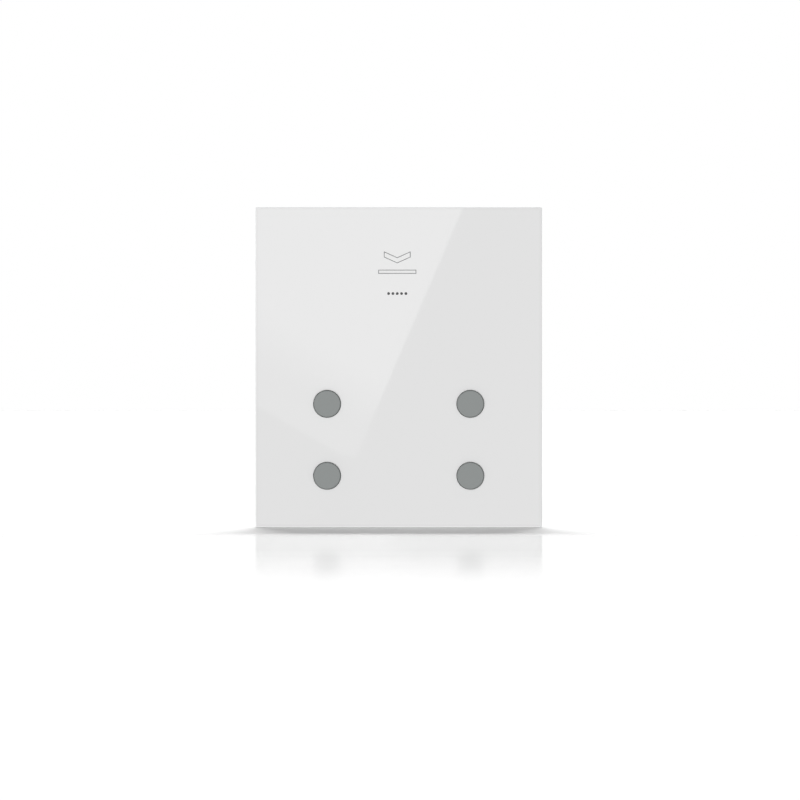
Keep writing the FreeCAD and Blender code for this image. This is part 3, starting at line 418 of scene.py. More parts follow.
# Injection-moulded ABS from a spark-eroded tool: a fine dull grain under an even off-white.
WHITE_ABS = Finish(
    "white_abs", "#DFDFDC", "#D9D9D6",
    roughness=0.42, spread=0.06, grain_mm=0.25, height_mm=0.010,
)
# ABS caps from a finer tool: flat mid grey with hardly any sheen.
GREY_ABS = Finish(
    "grey_abs_cap", "#878B8A", "#838786",
    roughness=0.55, spread=0.04, grain_mm=0.20, height_mm=0.006,
)
# Glass-filled nylon: dark, with short fibres that mottle the surface.
DARK_NYLON = Finish(
    "dark_nylon", "#37383A", "#2E2F31",
    roughness=0.50, spread=0.08, grain_mm=0.35, height_mm=0.012,
)
# Phenolic switch housings: black and slightly waxy.
BLACK_PHENOLIC = Finish(
    "black_phenolic", "#1B1B1C", "#242426",
    roughness=0.40, spread=0.08, grain_mm=0.40, height_mm=0.010,
)
# Acetal: creamy white and slippery, with a soft wide highlight.
ACETAL = Finish(
    "natural_acetal", "#E3E0D6", "#DAD6CA",
    roughness=0.33, spread=0.05, grain_mm=0.60, height_mm=0.004, ior=1.48,
)
# Rolled steel with a bright zinc plating: the rolling leaves long faint streaks.
ZINC_STEEL = Finish(
    "zinc_plated_steel", "#C3C6C9", "#A9ADB1",
    roughness=0.34, spread=0.10, grain_mm=0.30, height_mm=0.004,
    metallic=1.0, stretch=(1.0, 1.0, 40.0),
)
# Cold-headed screws in the same plating: a bright skin with small stains.
ZINC_SCREW = Finish(
    "zinc_plated_screw", "#BFC1C2", "#9DA0A2",
    roughness=0.30, spread=0.10, grain_mm=0.25, height_mm=0.003, metallic=1.0,
)
# Ground steel pin: a clean narrow highlight with rings round the pin.
GROUND_STEEL = Finish(
    "ground_steel", "#C9CACB", "#B3B5B7",
    roughness=0.18, spread=0.05, grain_mm=0.05, height_mm=0.001,
    metallic=1.0, stretch=(1.0, 60.0, 60.0),
)
# Plated brass cages and pins: warm, soft metal with a slight bloom.
PLATED_BRASS = Finish(
    "plated_brass", "#D9B871", "#C19C55",
    roughness=0.28, spread=0.08, grain_mm=0.30, height_mm=0.003, metallic=1.0,
)
# Polyamide terminal housing: saturated green with a soft sheen.
GREEN_POLYAMIDE = Finish(
    "green_polyamide", "#2F7A4C", "#2A6D44",
    roughness=0.45, spread=0.06, grain_mm=0.30, height_mm=0.008,
)
# Closed-cell foam tape, cut by a die: dark, matt and pored.
FOAM_TAPE = Finish(
    "foam_tape", "#2C2C2E", "#1C1C1E",
    roughness=0.85, spread=0.05, grain_mm=0.12, height_mm=0.030, ior=1.4,
)
# Relay case: blue polyester with a clean moulded gloss.
BLUE_POLYESTER = Finish(
    "blue_polyester", "#23477D", "#1F4072",
    roughness=0.30, spread=0.05, grain_mm=0.50, height_mm=0.004,
)
# Potted supply block: black epoxy with small flow marks.
BLACK_EPOXY = Finish(
    "black_epoxy", "#161618", "#202024",
    roughness=0.35, spread=0.10, grain_mm=1.20, height_mm=0.010,
)
# Shrunk sleeve over the can: dark blue film with faint wrinkles.
SLEEVE_FILM = Finish(
    "sleeve_film", "#2B3350", "#252C46",
    roughness=0.25, spread=0.06, grain_mm=0.90, height_mm=0.010,
)
# Dipped coating of the disc: thick ochre lacquer with an uneven skin.
DIPPED_LACQUER = Finish(
    "dipped_lacquer", "#B8832F", "#A37226",
    roughness=0.28, spread=0.08, grain_mm=0.80, height_mm=0.020,
)
# Screen-printing ink on the glass: a thin, slightly dull grey film.
PRINT_INK = Finish(
    "screen_ink", "#6F7172", "#696B6C",
    roughness=0.55, spread=0.03, grain_mm=0.15, height_mm=0.001,
)
# The same ink, laid on thicker and darker.
DARK_INK = Finish(
    "dark_screen_ink", "#3B3C3D", "#353637",
    roughness=0.55, spread=0.03, grain_mm=0.15, height_mm=0.001,
)


@dataclass(frozen=True)
class BackPaintedGlass:
    """Float glass, 3 mm thick, with an even pale enamel on its back and polished arrises.

    The eye sees a flat pale field under a mirror-like surface, and a cooler, slightly green cast
    where it looks into the glass's edge. The polished bevels carry a painted highlight.

    Attributes:
        half_width_mm: Half of the panel's width.
        half_height_mm: Half of the panel's height.
        enamel: Colour of the painted field as it shows through the glass.
        border: Colour of the last millimetre, a little darker than the field.
        arris: Painted highlight on the ground and polished bevel, nearly white.
        edge: Colour seen through the glass's edge.
        border_mm: Width of that last strip, whose inner half fades into the field.
        roughness: Roughness of the polished face.
        film: How far a faint film on the glass moves that roughness each way.
        film_mm: Size of the film's patches.
        ior: Index of refraction.
        arris_turn: Where the bevel's painted highlight begins and is full, as a face turns from the
            front, which is 0, to the side, which is 1.
        edge_turn: The same for where the painted highlight ends and the edge's colour is full.
    """

    half_width_mm: float
    half_height_mm: float
    enamel: str = "#E9E9E9"
    border: str = "#E6E6E6"
    arris: str = "#FAFBFB"
    edge: str = "#C3CDC8"
    border_mm: float = 1.1
    roughness: float = 0.012
    film: float = 0.004
    film_mm: float = 16.67
    ior: float = 1.5
    arris_turn: Span = (0.05, 0.15)
    edge_turn: Span = (0.45, 0.65)

    def material(self) -> bpy.types.Material:
        """Builds the node material.

        Returns:
            The material.
        """
        material, tree = new_material("back_painted_glass")
        place = add_node(tree, "ShaderNodeTexCoord", {}, {})
        split = add_node(tree, "ShaderNodeSeparateXYZ", {}, {"Vector": place.outputs["Object"]})
        distances = []
        for axis, half in (("X", self.half_width_mm), ("Z", self.half_height_mm)):
            size = add_node(
                tree, "ShaderNodeMath", {"operation": "ABSOLUTE"}, {0: split.outputs[axis]}
            )
            inside = add_node(
                tree,
                "ShaderNodeMath",
                {"operation": "SUBTRACT", 0: half * MM},
                {1: size.outputs["Value"]},
            )
            distances.append(inside.outputs["Value"])
        nearest = add_node(
            tree, "ShaderNodeMath", {"operation": "MINIMUM"}, {0: distances[0], 1: distances[1]}
        )
        field_share = add_node(
            tree,
            "ShaderNodeMapRange",
            {
                "interpolation_type": "SMOOTHSTEP",
                "From Min": self.border_mm / 2 * MM,
                "From Max": self.border_mm * MM,
            },
            {"Value": nearest.outputs["Value"]},
        )
        cloud = add_node(
            tree,
            "ShaderNodeTexNoise",
            {"Scale": 1 / (self.film_mm * MM), "Detail": 2.0},
            {"Vector": place.outputs["Object"]},
        )
        film = add_node(
            tree,
            "ShaderNodeMapRange",
            {"To Min": self.roughness - self.film, "To Max": self.roughness + self.film},
            {"Value": cloud.outputs["Fac"]},
        )
        front = add_node(
            tree,
            "ShaderNodeMix",
            {"data_type": "RGBA", "A": to_linear(self.border), "B": to_linear(self.enamel)},
            {"Factor": field_share.outputs["Result"]},
        )
        facing = add_node(tree, "ShaderNodeNewGeometry", {}, {})
        sides = add_node(
            tree, "ShaderNodeSeparateXYZ", {}, {"Vector": facing.outputs["True Normal"]}
        )
        turned = add_node(
            tree,
            "ShaderNodeMapRange",
            {"From Min": -1.0, "From Max": 0.0},
            {"Value": sides.outputs["Y"]},
        )
        highlight_and_edge = add_node(tree, "ShaderNodeValToRGB", {}, {"Fac": turned.outputs["Result"]})
        # The bevel gets a painted highlight; the glass's edge keeps its own green-grey.
        colours = (to_linear(self.arris), to_linear(self.edge))
        set_ramp(highlight_and_edge, list(zip(self.edge_turn, colours)))
        beside = add_node(
            tree,
            "ShaderNodeMapRange",
            {"From Min": self.arris_turn[0], "From Max": self.arris_turn[1]},
            {"Value": turned.outputs["Result"]},
        )
        whole = add_node(
            tree,
            "ShaderNodeMix",
            {"data_type": "RGBA"},
            {
                "Factor": beside.outputs["Result"],
                "A": front.outputs["Result"],
                "B": highlight_and_edge.outputs["Color"],
            },
        )
        surface = add_node(
            tree,
            "ShaderNodeBsdfPrincipled",
            {"IOR": self.ior},
            {"Base Color": whole.outputs["Result"], "Roughness": film.outputs["Result"]},
        )
        add_node(tree, "ShaderNodeOutputMaterial", {}, {"Surface": surface.outputs["BSDF"]})
        return material


@dataclass(frozen=True)
class SolderMask:
    """Etched copper under green solder mask: darker board, lighter tracks under the lacquer.

    Attributes:
        board: Colour over bare laminate.
        track: Colour over copper.
        track_pitch_mm: Distance between tracks, drawn coarse enough to show.
        track_height_mm: How far a track lifts the lacquer.
        ripple_mm: Size of the lacquer's ripples.
        roughness: Least and greatest roughness of the lacquer.
        ior: Index of refraction.
    """

    board: str = "#17452B"
    track: str = "#2A6A44"
    track_pitch_mm: float = 1.27
    track_height_mm: float = 0.02
    ripple_mm: float = 0.8
    roughness: Span = (0.22, 0.38)
    ior: float = 1.5

    def material(self) -> bpy.types.Material:
        """Builds the node material, or gives the one that is already built.

        Returns:
            The material.
        """
        name = "solder_mask_laminate"
        if name in bpy.data.materials:
            return bpy.data.materials[name]
        material, tree = new_material(name)
        place = add_node(tree, "ShaderNodeTexCoord", {}, {})
        tracks = add_node(
            tree,
            "ShaderNodeTexBrick",
            {
                "Color1": to_linear(self.track),
                "Color2": to_linear(self.board),
                "Mortar": to_linear(self.board),
                "Scale": 1 / (self.track_pitch_mm * MM),
                "Mortar Size": 0.25,
                "Brick Width": 6.0,
                "Row Height": 1.0,
            },
            {"Vector": place.outputs["Object"]},
        )
        skin = add_node(
            tree,
            "ShaderNodeTexNoise",
            {"Scale": 1 / (self.ripple_mm * MM)},
            {"Vector": place.outputs["Object"]},
        )
        gloss = add_node(
            tree,
            "ShaderNodeMapRange",
            {"To Min": self.roughness[0], "To Max": self.roughness[1]},
            {"Value": skin.outputs["Fac"]},
        )
        relief = add_node(
            tree,
            "ShaderNodeBump",
            {"Distance": self.track_height_mm * MM},
            {"Height": tracks.outputs["Fac"]},
        )
        surface = add_node(
            tree,
            "ShaderNodeBsdfPrincipled",
            {"IOR": self.ior},
            {
                "Base Color": tracks.outputs["Color"],
                "Roughness": gloss.outputs["Result"],
                "Normal": relief.outputs["Normal"],
            },
        )
        add_node(tree, "ShaderNodeOutputMaterial", {}, {"Surface": surface.outputs["BSDF"]})
        return material


AnyFinish = Finish | BackPaintedGlass | SolderMask


def dress(finish: AnyFinish, *nodes: str) -> list[str]:
    """Gives CAD nodes a finish.

    Args:
        finish: Finish of the surface.
        nodes: Names of the CAD nodes.

    Returns:
        The same names.
    """
    material = finish.material()
    for name in nodes:
        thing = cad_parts[name]
        if not thing.material_slots:
            thing.data.materials.append(material)
        for place in thing.material_slots:
            place.material = material
    return list(nodes)


def mount_piece(
    piece: bpy.types.Object, finish: AnyFinish, slot: str, body: str, *instead_of: str
) -> None:
    """Finishes a new piece and fixes it to a body.

    Args:
        piece: The new piece.
        finish: Finish of its surface.
        slot: The record's material slot; not used.
        body: Body that carries it.
        instead_of: CAD nodes that the piece stands for.
    """
    piece.data.materials.clear()
    piece.data.materials.append(finish.material())
    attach(piece, body)
    if instead_of:
        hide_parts(*instead_of)


# Sub-assemblies


@dataclass
class FrontUnit:
    """The glass, its tape, the carrier behind it and the grey buttons.

    Attributes:
        buttons: Number of buttons.
    """

    buttons: int = 4

    def build(self) -> list[str]:
        """Dresses the pieces of the front unit.

        Returns:
            Names of the pieces dressed.
        """
        corner = box_mm("glass_panel")[1]
        numbers = range(1, self.buttons + 1)
        names = dress(BackPaintedGlass(corner.x, corner.z), "glass_panel")
        names += dress(FOAM_TAPE, "panel_tape")
        names += dress(WHITE_ABS, "front_carrier")
        names += dress(GREY_ABS, *(f"button_cap_{i}" for i in numbers))
        names += dress(ACETAL, *(f"switch_plunger_{i}" for i in numbers))
        names += dress(BLACK_PHENOLIC, *(f"switch_body_{i}" for i in numbers))
        names += dress(SolderMask(), "button_board")
        return names


@dataclass
class PanelPrint:
    """The sign for putting a card in, printed on the glass, and the row of dots under it.

    Attributes:
        middle_x: Middle of the sign from the panel's middle.
        chevron_half: Half of the chevron's width.
        chevron_top: Height of its upper corners.
        chevron_band: Its height along each arm.
        chevron_drop: How far its tip hangs below its ends.
        bar_half: Half of the bar's width.
        bar_top: Height of the bar's upper line.
        bar_height: Distance between its lines.
        line: Width of the printed line.
        film: Thickness of the ink.
        lift: Gap that keeps the ink's back face clear of the glass.
        dots: Number of dots.
        dot_pitch: Distance between them.
        dot_radius: Radius of a dot.
        dot_steps: Number of faces round a dot.
        dots_z: Height of the row.
    """

    middle_x: float = -0.45
    chevron_half: float = 3.9
    chevron_top: float = 34.6
    chevron_band: float = 1.55
    chevron_drop: float = 1.75
    bar_half: float = 5.6
    bar_top: float = 29.13
    bar_height: float = 0.98
    line: float = 0.20
    film: float = 0.01
    lift: float = 0.002
    dots: int = 5
    dot_pitch: float = 1.3
    dot_radius: float = 0.42
    dot_steps: int = 20
    dots_z: float = 22.1

    def outline(self, name: str, points: list[Point]) -> bpy.types.Object:
        """Builds a thin closed line on the glass.

        Args:
            name: Name of the piece.
            points: Corners as X and Z.

        Returns:
            The new piece.
        """
        mesh = bmesh.new()
        back = glass_front() - self.lift
        front = back - self.film
        right, left = zip(*ribbon(points, self.line))
        rings = []
        for depth, edge in ((back, right), (front, right), (front, left), (back, left)):
            rings.append([mesh.verts.new((p.x, depth, p.y)) for p in edge])
        for one, other in zip(rings, rings[1:] + rings[:1]):
            for i in range(len(points)):
                j = (i + 1) % len(points)
                mesh.faces.new((one[i], one[j], other[j], other[i]))
        bmesh.ops.recalc_face_normals(mesh, faces=mesh.faces)
        return as_object(name, mesh)

    def chevron(self) -> list[Point]:
        """Works out the chevron.

        Returns:
            Its corners as X and Z.
        """
        left, right = self.middle_x - self.chevron_half, self.middle_x + self.chevron_half
        top, low = self.chevron_top, self.chevron_top - self.chevron_band
        return [
            (left, top),
            (self.middle_x, top - self.chevron_drop),
            (right, top),
            (right, low),
            (self.middle_x, low - self.chevron_drop),
            (left, low),
        ]

    def bar(self) -> list[Point]:
        """Works out the bar.

        Returns:
            Its corners as X and Z.
        """
        left, right = self.middle_x - self.bar_half, self.middle_x + self.bar_half
        low = self.bar_top - self.bar_height
        return [(left, self.bar_top), (right, self.bar_top), (right, low), (left, low)]

    def dot_row(self) -> bpy.types.Object:
        """Builds the row of dots.

        Returns:
            The new piece.
        """
        mesh = bmesh.new()
        back = glass_front() - self.lift
        profile = [(0, self.film), (self.dot_radius, self.film), (self.dot_radius, 0), (0, 0)]
        dot = lathe(profile, self.dot_steps)
        stand = Matrix.Rotation(math.pi / 2, 4, "X")
        for i in range(self.dots):
            x = self.middle_x + (i - (self.dots - 1) / 2) * self.dot_pitch
            join_into(mesh, dot, Matrix.Translation((x, back, self.dots_z)) @ stand)
        dot.free()
        return as_object("print_dots", mesh)

    def build(self) -> list[str]:
        """Builds the prints.

        Returns:
            Names of the new pieces.
        """
        prints = (
            (self.outline("print_chevron", self.chevron()), PRINT_INK),
            (self.outline("print_bar", self.bar()), PRINT_INK),
            (self.dot_row(), DARK_INK),
        )
        for piece, ink in prints:
            mount_piece(piece, ink, "panel_glass", "base")
        return [piece.name for piece, ink in prints]


@dataclass
class CardPocket:
    """The pocket's rear wall, the lever that the card presses and its microswitch."""

    def build(self) -> list[str]:
        """Dresses the pieces of the card pocket.

        Returns:
            Names of the pieces dressed.
        """
        names = dress(DARK_NYLON, "card_guide")
        names += dress(ACETAL, "card_lever", "sensor_plunger")
        names += dress(GROUND_STEEL, "lever_pin")
        names += dress(BLACK_PHENOLIC, "sensor_switch")
        return names


@dataclass
class WallUnit:
    """The housing, its steel frame, the relay board and the terminals.

    Attributes:
        digit_height: Height of the moulded terminal numbers.
        font_scale: Size of the font as a multiple of its digits' height.
        curve_steps: Straight steps in each curve of a digit.
        digit_relief: How far they stand out of the cover.
        digit_gap: Distance from the terminal block up to the numbers.
        digit_sink: How far they are rooted in the cover.
        well_radius: Radius of a terminal's screw well.
        drill_spare: How far the drill that cuts a well stands out of the block.
    """

    digit_height: float = 2.2
    font_scale: float = 1.4
    curve_steps: int = 4
    digit_relief: float = 0.25
    digit_gap: float = 1.2
    digit_sink: float = 0.1
    well_radius: float = 2.17
    drill_spare: float = 0.5

    def build(self) -> list[str]:
        """Dresses the base's pieces and adds the moulded numbers.

        Returns:
            Names of the pieces.
        """
        names = dress(WHITE_ABS, "base_housing", "rear_cover")
        names += dress(ZINC_STEEL, "mounting_frame")
        names += dress(SolderMask(), "relay_board")
        names += dress(BLUE_POLYESTER, "relay")
        names += dress(BLACK_EPOXY, "supply_module")
        names += dress(SLEEVE_FILM, "filter_capacitor")
        names += dress(DIPPED_LACQUER, "varistor")
        names += dress(BLACK_PHENOLIC, "board_header", "board_socket")
        names += dress(PLATED_BRASS, "header_pins", "terminal_clamps")
        names.append(self.round_wells().name)
        for number, (low, high) in enumerate(solids_of("terminal_clamps"), start=1):
            digit = self.numeral(number, (low.x + high.x) / 2)
            mount_piece(digit, WHITE_ABS, "white_plastic", "base")
            names.append(digit.name)
        return names

    def round_wells(self) -> bpy.types.Object:
        """Builds the terminal block with its screw wells bored round.

        Returns:
            The new piece, in place of the CAD node.
        """
        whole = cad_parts["terminal_block"]
        piece = bpy.data.objects.new("terminal_housing", whole.data.copy())
        piece.matrix_world = whole.matrix_world.copy()
        bpy.context.collection.objects.link(piece)
        back = box_mm("terminal_block")[1].y
        turn = Matrix.Rotation(-math.pi / 2, 4, "X")
        top, radius = self.drill_spare, self.well_radius
        for low, high in solids_of("terminal_screws"):
            middle = (low + high) / 2
            depth = back - high.y
            drill = lathe([(0, top), (radius, top), (radius, -depth), (0, -depth)])
            drill.transform(Matrix.Translation((middle.x, back, middle.z)) @ turn)
            cut_away(piece, as_object("drill", drill))
        mount_piece(piece, GREEN_POLYAMIDE, "terminal_plastic", "base", "terminal_block")
        return piece

    def numeral(self, number: int, x: float) -> bpy.types.Object:
        """Builds a raised number on the rear cover, above its terminal.

        Args:
            number: The number.
            x: Place of the terminal.

        Returns:
            The new piece.
        """
        text = bpy.data.curves.new(f"numeral_{number}", "FONT")
        text.body = str(number)
        text.size = self.digit_height * self.font_scale * MM
        text.align_x = "CENTER"
        text.extrude = (self.digit_relief + self.digit_sink) / 2 * MM
        text.resolution_u = self.curve_steps
        drawn = bpy.data.objects.new(f"numeral_{number}", text)
        bpy.context.collection.objects.link(drawn)
        graph = bpy.context.evaluated_depsgraph_get()
        mesh = bpy.data.meshes.new_from_object(drawn.evaluated_get(graph))
        bpy.data.objects.remove(drawn)
        back = box_mm("rear_cover")[1].y
        bottom = box_mm("terminal_block")[1].z + self.digit_gap
        middle = back + (self.digit_relief - self.digit_sink) / 2
        # The digit is drawn lying flat: this stands it up, facing backward.
        upright = Matrix(((-1, 0, 0), (0, 0, 1), (0, 1, 0))).to_4x4()
        mesh.transform(Matrix.Translation(Vector((x, middle, bottom)) * MM) @ upright)
        piece = bpy.data.objects.new(f"numeral_{number}", mesh)
        bpy.context.collection.objects.link(piece)
        return piece


@dataclass(frozen=True)
class Drive:
    """The cuts in a screw's head that a driver turns it by.

    Attributes:
        arms: Number of straight cuts through the head's middle.
        reach: Half of a cut's length as a share of the head's radius.
        taper: Size of a cut's floor as a share of its mouth.
    """

    arms: int
    reach: float
    taper: float


class Recess(Enum):
    """What a screw is driven by: a cross, or one slot right across the head."""

    CROSS = Drive(arms=2, reach=0.68, taper=0.45)
    SLOT = Drive(arms=1, reach=1.2, taper=1.0)


@dataclass
class ScrewSet:
    """A group of equal screws, with rounded heads and a driver's recess.

    Attributes:
        node: CAD node that the screws stand for.
        outward: Direction from the thread out of the head.
        head_tall: Height of the head.
        shank_radius: Radius of the thread's core.
        recess: What the screw is driven by.
        recess_width: Width of a recess arm.
        recess_depth: Depth of the recess as a share of the head's height.
        recess_spare: How far the cutter of the recess stands out of the head.
        edge: Radius of the head's rounded edge.
        edge_steps: Straight steps in that edge.
        smooth_deg: Edges under this angle are shaded smooth.
        spin_deg: Turn of the recess from one screw to the next.
    """

    node: str
    outward: Direction
    head_tall: float
    shank_radius: float
    recess: Recess = Recess.CROSS
    recess_width: float = 0.62
    recess_depth: float = 0.62
    recess_spare: float = 0.2
    edge: float = 0.35
    edge_steps: int = 3
    smooth_deg: float = 40.0
    spin_deg: float = 37.0

    def one(self, radius: float, length: float) -> bpy.types.Object:
        """Builds one screw with its seat at height 0 and its head above it.

        Args:
            radius: Radius of the head.
            length: Length below the seat.

        Returns:
            The screw, in metres.
        """
        top = self.head_tall
        profile = [(0, top), (radius - self.edge, top)]
        for step in range(1, self.edge_steps + 1):
            angle = math.pi / 2 * step / self.edge_steps
            out = radius - self.edge * (1 - math.sin(angle))
            profile.append((out, top - self.edge * (1 - math.cos(angle))))
        # The tip tapers at 45 degrees, over a third of the length at most.
        tip = min(self.shank_radius, length / 3)
        profile += [(radius, 0), (self.shank_radius, 0), (self.shank_radius, tip - length)]
        profile.append((0, -length))
        screw = as_object("screw", lathe(profile), self.smooth_deg)
        drive = self.recess.value
        reach = radius * drive.reach
        half = self.recess_width / 2
        low = Vector((-reach, -half, top - top * self.recess_depth))
        high = Vector((reach, half, top + self.recess_spare))
        for i in range(drive.arms):
            arm = block(low, high, drive.taper)
            arm.transform(Matrix.Rotation(i * math.pi / 2, 4, "Z"))
            cut_away(screw, as_object("recess", arm))
        return screw

    def build(self) -> list[str]:
        """Builds the whole group in place of its CAD node.

        Returns:
            Name of the new piece.
        """
        outward = Vector(self.outward)
        axis = max(range(3), key=lambda i: abs(outward[i]))
        across = (axis + 1) % 3
        solids = solids_of(self.node)
        low, high = solids[0]
        radius = (high[across] - low[across]) / 2
        length = high[axis] - low[axis] - self.head_tall
        screw = self.one(radius, length)
        turn = outward.to_track_quat("Z", "Y").to_matrix().to_4x4()
        pattern = bmesh.new()
        pattern.from_mesh(screw.data)
        bmesh.ops.scale(pattern, vec=(1 / MM,) * 3, verts=pattern.verts)
        bpy.data.objects.remove(screw)
        whole = bmesh.new()
        for number, (low, high) in enumerate(solids):
            seat = (low + high) / 2
            ahead = high[axis] if outward[axis] > 0 else low[axis]
            seat[axis] = ahead - outward[axis] * self.head_tall
            spin = Matrix.Rotation(math.radians(self.spin_deg * number), 4, "Z")
            join_into(whole, pattern, Matrix.Translation(seat) @ turn @ spin)
        pattern.free()
        piece = as_object(f"{self.node}_turned", whole, self.smooth_deg)
        mount_piece(piece, ZINC_SCREW, "screw_steel", "base", self.node)
        return [piece.name]


# Studio


@dataclass(frozen=True)
class Lamp:
    """A soft light as far away as the sun.

    Attributes:
        name: Name of the lamp.
        towards: Direction from the object to the light.
        spread_deg: Angle that the light fills in the sky.
        power: Its strength on a face square to it.
    """

    name: str
    towards: Direction
    spread_deg: float
    power: float

    def hang(self) -> None:
        """Adds the lamp to the scene."""
        data = bpy.data.lights.new(self.name, "SUN")
        data.angle = math.radians(self.spread_deg)
        data.energy = self.power
        thing = bpy.data.objects.new(self.name, data)
        thing.location = Vector(self.towards).normalized()
        thing.rotation_euler = Vector(self.towards).to_track_quat("Z", "Y").to_euler()
        bpy.context.collection.objects.link(thing)


@dataclass
class Studio:
    """The white floor, the lamps, the reflected window and the camera.

    Attributes:
        distance: From the camera to the glass.
        view_width: Width of the picture at the glass.
        centre_x: The picture's middle from the panel's middle.
        centre_z: The same upwards.
        card_behind: From the camera back to the window card.
        sky: Strength of the surroundings as a light.
        above: High light from behind, which throws the shadow towards the camera.
        front: Weaker low light from the front, a little to the left.
        bounce: Light that the floor throws back on the object.
        floor_gap: Gap between the glass's lower edge and the floor.
        floor_half: Half of the floor's width and depth.
        floor_white: Colour of the floor where it doesn't mirror.
        mirror_reach: How far in front of the glass the floor still mirrors.
        mirror_shares: Place along that reach and the mirror's share there.
        haze: Roughness of that mirror at the glass and at the end of its reach.
        gleam: Corners of the gleam as it lies on the glass, clockwise from the upper left.
        gleam_dim: Width of the dimmer strip along the gleam's lower left edge.
        gleam_rise: Distance over which the gleam then gains its full strength.
        gleam_low: Brightness of the card behind the dimmer strip.
        gleam_high: Brightness of the rest.
    """

    distance: float = 1800.0
    view_width: float = 240.1
    centre_x: float = 0.375
    centre_z: float = -9.85
    card_behind: float = 500.0
    sky: float = 0.37
    above: Lamp = Lamp("light_above", (0.0, 0.73, 0.683), spread_deg=17.0, power=3.14)
    front: Lamp = Lamp("light_front", (-0.25, -0.96, 0.06), spread_deg=6.0, power=1.42)
    bounce: float = 0.60
    floor_gap: float = 0.05
    floor_half: float = 20000.0
    floor_white: str = "#FAFAFA"
    mirror_reach: float = 585.0
    mirror_shares: tuple[Point, ...] = (
        (0.0, 0.03), (0.14, 0.05), (0.20, 0.72), (0.47, 0.72), (0.57, 0.66), (0.67, 0.50),
        (0.75, 0.40), (0.83, 0.25), (0.91, 0.11), (0.98, 0.0),
    )
    haze: Span = (0.02, 0.12)
    gleam: tuple[Point, ...] = ((-60.0, 70.0), (28.8, 70.0), (-13.5, -28.5), (-60.0, -1.5))
    gleam_dim: float = 11.0
    gleam_rise: float = 14.0
    gleam_low: float = 1.65
    gleam_high: float = 2.55

    def build(self) -> list[str]:
        """Builds the studio.

        Returns:
            Names of the things made.
        """
        self.camera()
        self.floor()
        self.window_card()
        self.above.hang()
        self.front.hang()
        self.world()
        return ["camera", "floor", "window_card", self.above.name, self.front.name, "world"]

    def camera(self) -> None:
        """Stands the camera straight in front of the panel, far away."""
        data = bpy.data.cameras.new("camera")
        data.lens = data.sensor_width * self.distance / self.view_width
        thing = bpy.data.objects.new("camera", data)
        thing.location = Vector((self.centre_x, glass_front() - self.distance, self.centre_z)) * MM
        thing.rotation_euler = (math.pi / 2, 0, 0)
        bpy.context.collection.objects.link(thing)
        bpy.context.scene.camera = thing
        bpy.context.scene.view_settings.view_transform = "Standard"

    def floor(self) -> None:
        """Lays a white floor under the glass's lower edge."""
        mesh = bmesh.new()
        low = box_mm("glass_panel")[0].z - self.floor_gap
        half = self.floor_half
        corners = [(-half, -half), (half, -half), (half, half), (-half, half)]
        mesh.faces.new([mesh.verts.new((x, y, low)) for x, y in corners])
        thing = as_object("floor", mesh)
        thing.data.materials.append(self.floor_material())

    def floor_material(self) -> bpy.types.Material:
        """Builds polished white sheet, whose mirror image softens and fades towards the camera.

        Returns:
            The material.
        """
        material, tree = new_material("polished_white_sheet")
        place = add_node(tree, "ShaderNodeTexCoord", {}, {})
        split = add_node(tree, "ShaderNodeSeparateXYZ", {}, {"Vector": place.outputs["Object"]})
        glass = glass_front()
        ahead = add_node(
            tree,
            "ShaderNodeMapRange",
            {"From Min": glass * MM, "From Max": (glass - self.mirror_reach) * MM},
            {"Value": split.outputs["Y"]},
        )
        mirror = add_node(tree, "ShaderNodeValToRGB", {}, {"Fac": ahead.outputs["Result"]})
        set_ramp(mirror, [(at, (share, share, share, 1.0)) for at, share in self.mirror_shares])
        haze = add_node(
            tree,
            "ShaderNodeMapRange",
            {"To Min": self.haze[0], "To Max": self.haze[1]},
            {"Value": ahead.outputs["Result"]},
        )
        path = add_node(tree, "ShaderNodeLightPath", {}, {})
        matt = add_node(tree, "ShaderNodeBsdfDiffuse", {"Color": to_linear(self.floor_white)}, {})
        polish = add_node(
            tree,
            "ShaderNodeBsdfGlossy",
            {"Color": WHITE},
            {"Roughness": haze.outputs["Result"]},
        )
        seen = add_node(
            tree,
            "ShaderNodeMixShader",
            {},
            {0: mirror.outputs["Color"], 1: matt.outputs["BSDF"], 2: polish.outputs["BSDF"]},
        )
        # The object sees an even white floor: dimmed as a light, full in its reflections.
        thrown = add_node(
            tree,
            "ShaderNodeMapRange",
            {"To Min": self.bounce, "To Max": 1.0},
            {"Value": path.outputs["Is Glossy Ray"]},
        )
        bounce = add_node(tree, "ShaderNodeEmission", {}, {"Strength": thrown.outputs["Result"]})
        surface = add_node(
            tree,
            "ShaderNodeMixShader",
            {},
            {0: path.outputs["Is Camera Ray"], 1: bounce.outputs["Emission"], 2: seen.outputs["Shader"]},
        )
        # From below the sheet is clear, so that the object's underside can be looked at.
        side = add_node(tree, "ShaderNodeNewGeometry", {}, {})
        clear = add_node(tree, "ShaderNodeBsdfTransparent", {}, {})
        one_way = add_node(
            tree,
            "ShaderNodeMixShader",
            {},
            {0: side.outputs["Backfacing"], 1: surface.outputs["Shader"], 2: clear.outputs["BSDF"]},
        )
        add_node(tree, "ShaderNodeOutputMaterial", {}, {"Surface": one_way.outputs["Shader"]})
        return material

